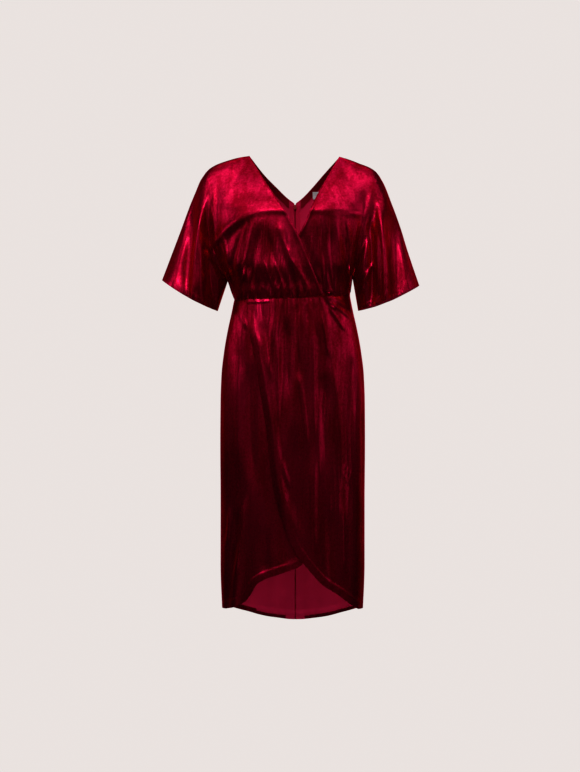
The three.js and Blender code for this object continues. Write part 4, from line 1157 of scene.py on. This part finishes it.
def make_zip(bodice_backs, skirt_backs):
    """The tapes of the concealed zip and its coil, and the turnings of the seam below it."""
    for sign, facing, name in ((1, -1, "left"), (-1, 1, "right")):
        depth_of = centre_depth(bodice_backs[name], skirt_backs[name])
        z = np.linspace(TAPE["bottom"], TAPE["top"], 90)[::-1]
        x = np.linspace(TAPE["width"], HALF, 7) * sign
        grid = np.stack(np.broadcast_arrays(x[:, None], depth_of(z)[None, :], z[None, :]), axis=-1)
        inset = CLOTH + TAPE["gap"]
        piece = wall(f"zip_tape_{name}_cloth", grid, facing, [TAPE_CLOTH] * 3, TAPE["thickness"], inset)
        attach(piece, "dress")
        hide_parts(f"zip_tape_{name}")
        deep = inset + TAPE["thickness"] + COIL["radius"]
        path_z = np.arange(COIL["top"], TAPE["bottom"] + COIL["ends"], -COIL["pitch"])
        path = [(sign * COIL["aside"] * MM, (depth_of(v) - deep + lean_of(v)) * MM, v * MM) for v in path_z]
        pitch, thread, radius = (COIL[key] * MM for key in ("pitch", "thread", "radius"))
        coil = make_stitches(f"zip_coil_{name}", path, pitch, thread, radius, COIL_NYLON)
        skirt = skirt_backs[name]
        first = int(np.argmax(skirt[-1, :, 2] < TAPE["bottom"] - SEAM_TURNING["above"]))
        turning = wall(
            f"back_seam_turning_{name}",
            skirt[-SEAM_TURNING["columns"] :, first:],
            facing,
            [REVERSE] * 3,
            thickness=SEAM_TURNING["thickness"],
            inset=CLOTH + SEAM_TURNING["gap"],
            keep=keep_past(0, sign, SEAM_GROOVE),
        )
        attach(turning, "dress")


def make_facings(bodice_backs):
    """The velvet facings inside the back neckline, each cut to lie a little below its edge."""
    for name, facing in (("left", 1), ("right", -1)):
        sheet = bodice_backs[name]
        neck_columns = STEPS["back"] * FINER["back"] + 1
        start = int(np.argmax(np.abs(sheet[:neck_columns, 0, 0]) > FACING["from"]))
        columns = []
        for column in sheet[start : neck_columns - 1]:
            run = np.concatenate([[0], np.cumsum(np.linalg.norm(np.diff(column, axis=0), axis=1))])
            down = np.linspace(FACING["below"], FACING["drop"], 9)
            columns.append(np.stack([np.interp(down, run, column[:, k]) for k in range(3)], axis=-1))
        grid = np.array(columns)
        inset = CLOTH + FACING["gap"]
        cloth = [FACING_VELVET] * 3
        piece = wall(f"neck_facing_{name}_cloth", grid, facing, cloth, FACING["thickness"], inset)
        cloth_piece(piece, f"neck_facing_{name}")


def finish_hard_pieces():
    """The zip's slider and pull and the label keep their solids and get their finish."""
    for node, finish in (("zip_slider", ZIP_METAL), ("zip_pull", ZIP_METAL), ("label", SATIN)):
        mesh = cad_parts[node].data
        mesh.materials.clear()
        mesh.materials.append(finish)


def make_stage():
    """A pale studio round the dress, seen by the camera only, and its soft lights."""
    pale = bpy.data.materials.new("pale_studio")
    pale.use_nodes = True
    nodes = pale.node_tree.nodes
    nodes.clear()
    glow = nodes.new("ShaderNodeEmission")
    glow.inputs["Color"].default_value = BACKGROUND
    output = nodes.new("ShaderNodeOutputMaterial")
    pale.node_tree.links.new(glow.outputs[0], output.inputs[0])
    bpy.ops.mesh.primitive_uv_sphere_add(segments=48, ring_count=24, radius=STUDIO["radius"])
    dome = bpy.context.object
    dome.name = "studio_dome"
    bpy.ops.mesh.primitive_circle_add(vertices=64, radius=STUDIO["floor"], fill_type="NGON")
    floor = bpy.context.object
    floor.location = (0, 0, STUDIO["floor_z"])
    floor.name = "studio_floor"
    for piece in (dome, floor):
        piece.data.materials.append(pale)
        piece.visible_diffuse = False
        piece.visible_glossy = False
        piece.visible_shadow = False
        piece.visible_transmission = False
    world = bpy.data.worlds.new("studio_air")
    world.use_nodes = True
    air = world.node_tree.nodes["Background"]
    air.inputs["Color"].default_value = AIR["colour"]
    air.inputs["Strength"].default_value = AIR["strength"]
    bpy.context.scene.world = world
    for n, row in enumerate(SOFTBOXES):
        data = bpy.data.lights.new(f"softbox_{n}", "AREA")
        data.shape = "RECTANGLE"
        data.size = row["wide"]
        data.size_y = row["tall"]
        data.energy = row["power"]
        lamp = placed_object(f"softbox_{n}", data)
        lamp.visible_camera = False
        lamp.location = (row["x"], row["y"], row["z"])
        across, along, up = -row["x"], -row["y"], row["aim_z"] - row["z"]
        tilt = math.atan2(up, math.hypot(across, along))
        lamp.rotation_euler = (math.pi / 2 + tilt, 0, math.atan2(-across, along))


def make_camera():
    """The camera, level, at the photograph's angle, with a long lens that shows the whole picture."""
    angle = math.radians(CAMERA["azimuth"])
    data = bpy.data.cameras.new("studio_camera")
    data.sensor_fit = "VERTICAL"
    data.sensor_height = CAMERA["sensor"]
    shown = PICTURE["pixels_high"] * PICTURE["mm_per_pixel"] * MM
    data.lens = CAMERA["sensor"] * CAMERA["distance"] / shown
    camera = placed_object("studio_camera", data)
    back = np.array([math.sin(angle), -math.cos(angle)]) * CAMERA["distance"]
    aside = np.array([math.cos(angle), math.sin(angle)]) * CAMERA["aside"]
    camera.location = (back[0] + aside[0], back[1] + aside[1], CAMERA["height"])
    camera.rotation_euler = (math.pi / 2, 0, angle)
    bpy.context.scene.camera = camera
    bpy.context.scene.view_settings.view_transform = "Standard"
    bpy.context.scene.view_settings.look = "High Contrast"


make_camera()
make_stage()
bodice_backs = make_bodice()
skirt_backs = make_skirt()
make_zip(bodice_backs, skirt_backs)
make_facings(bodice_backs)
finish_hard_pieces()
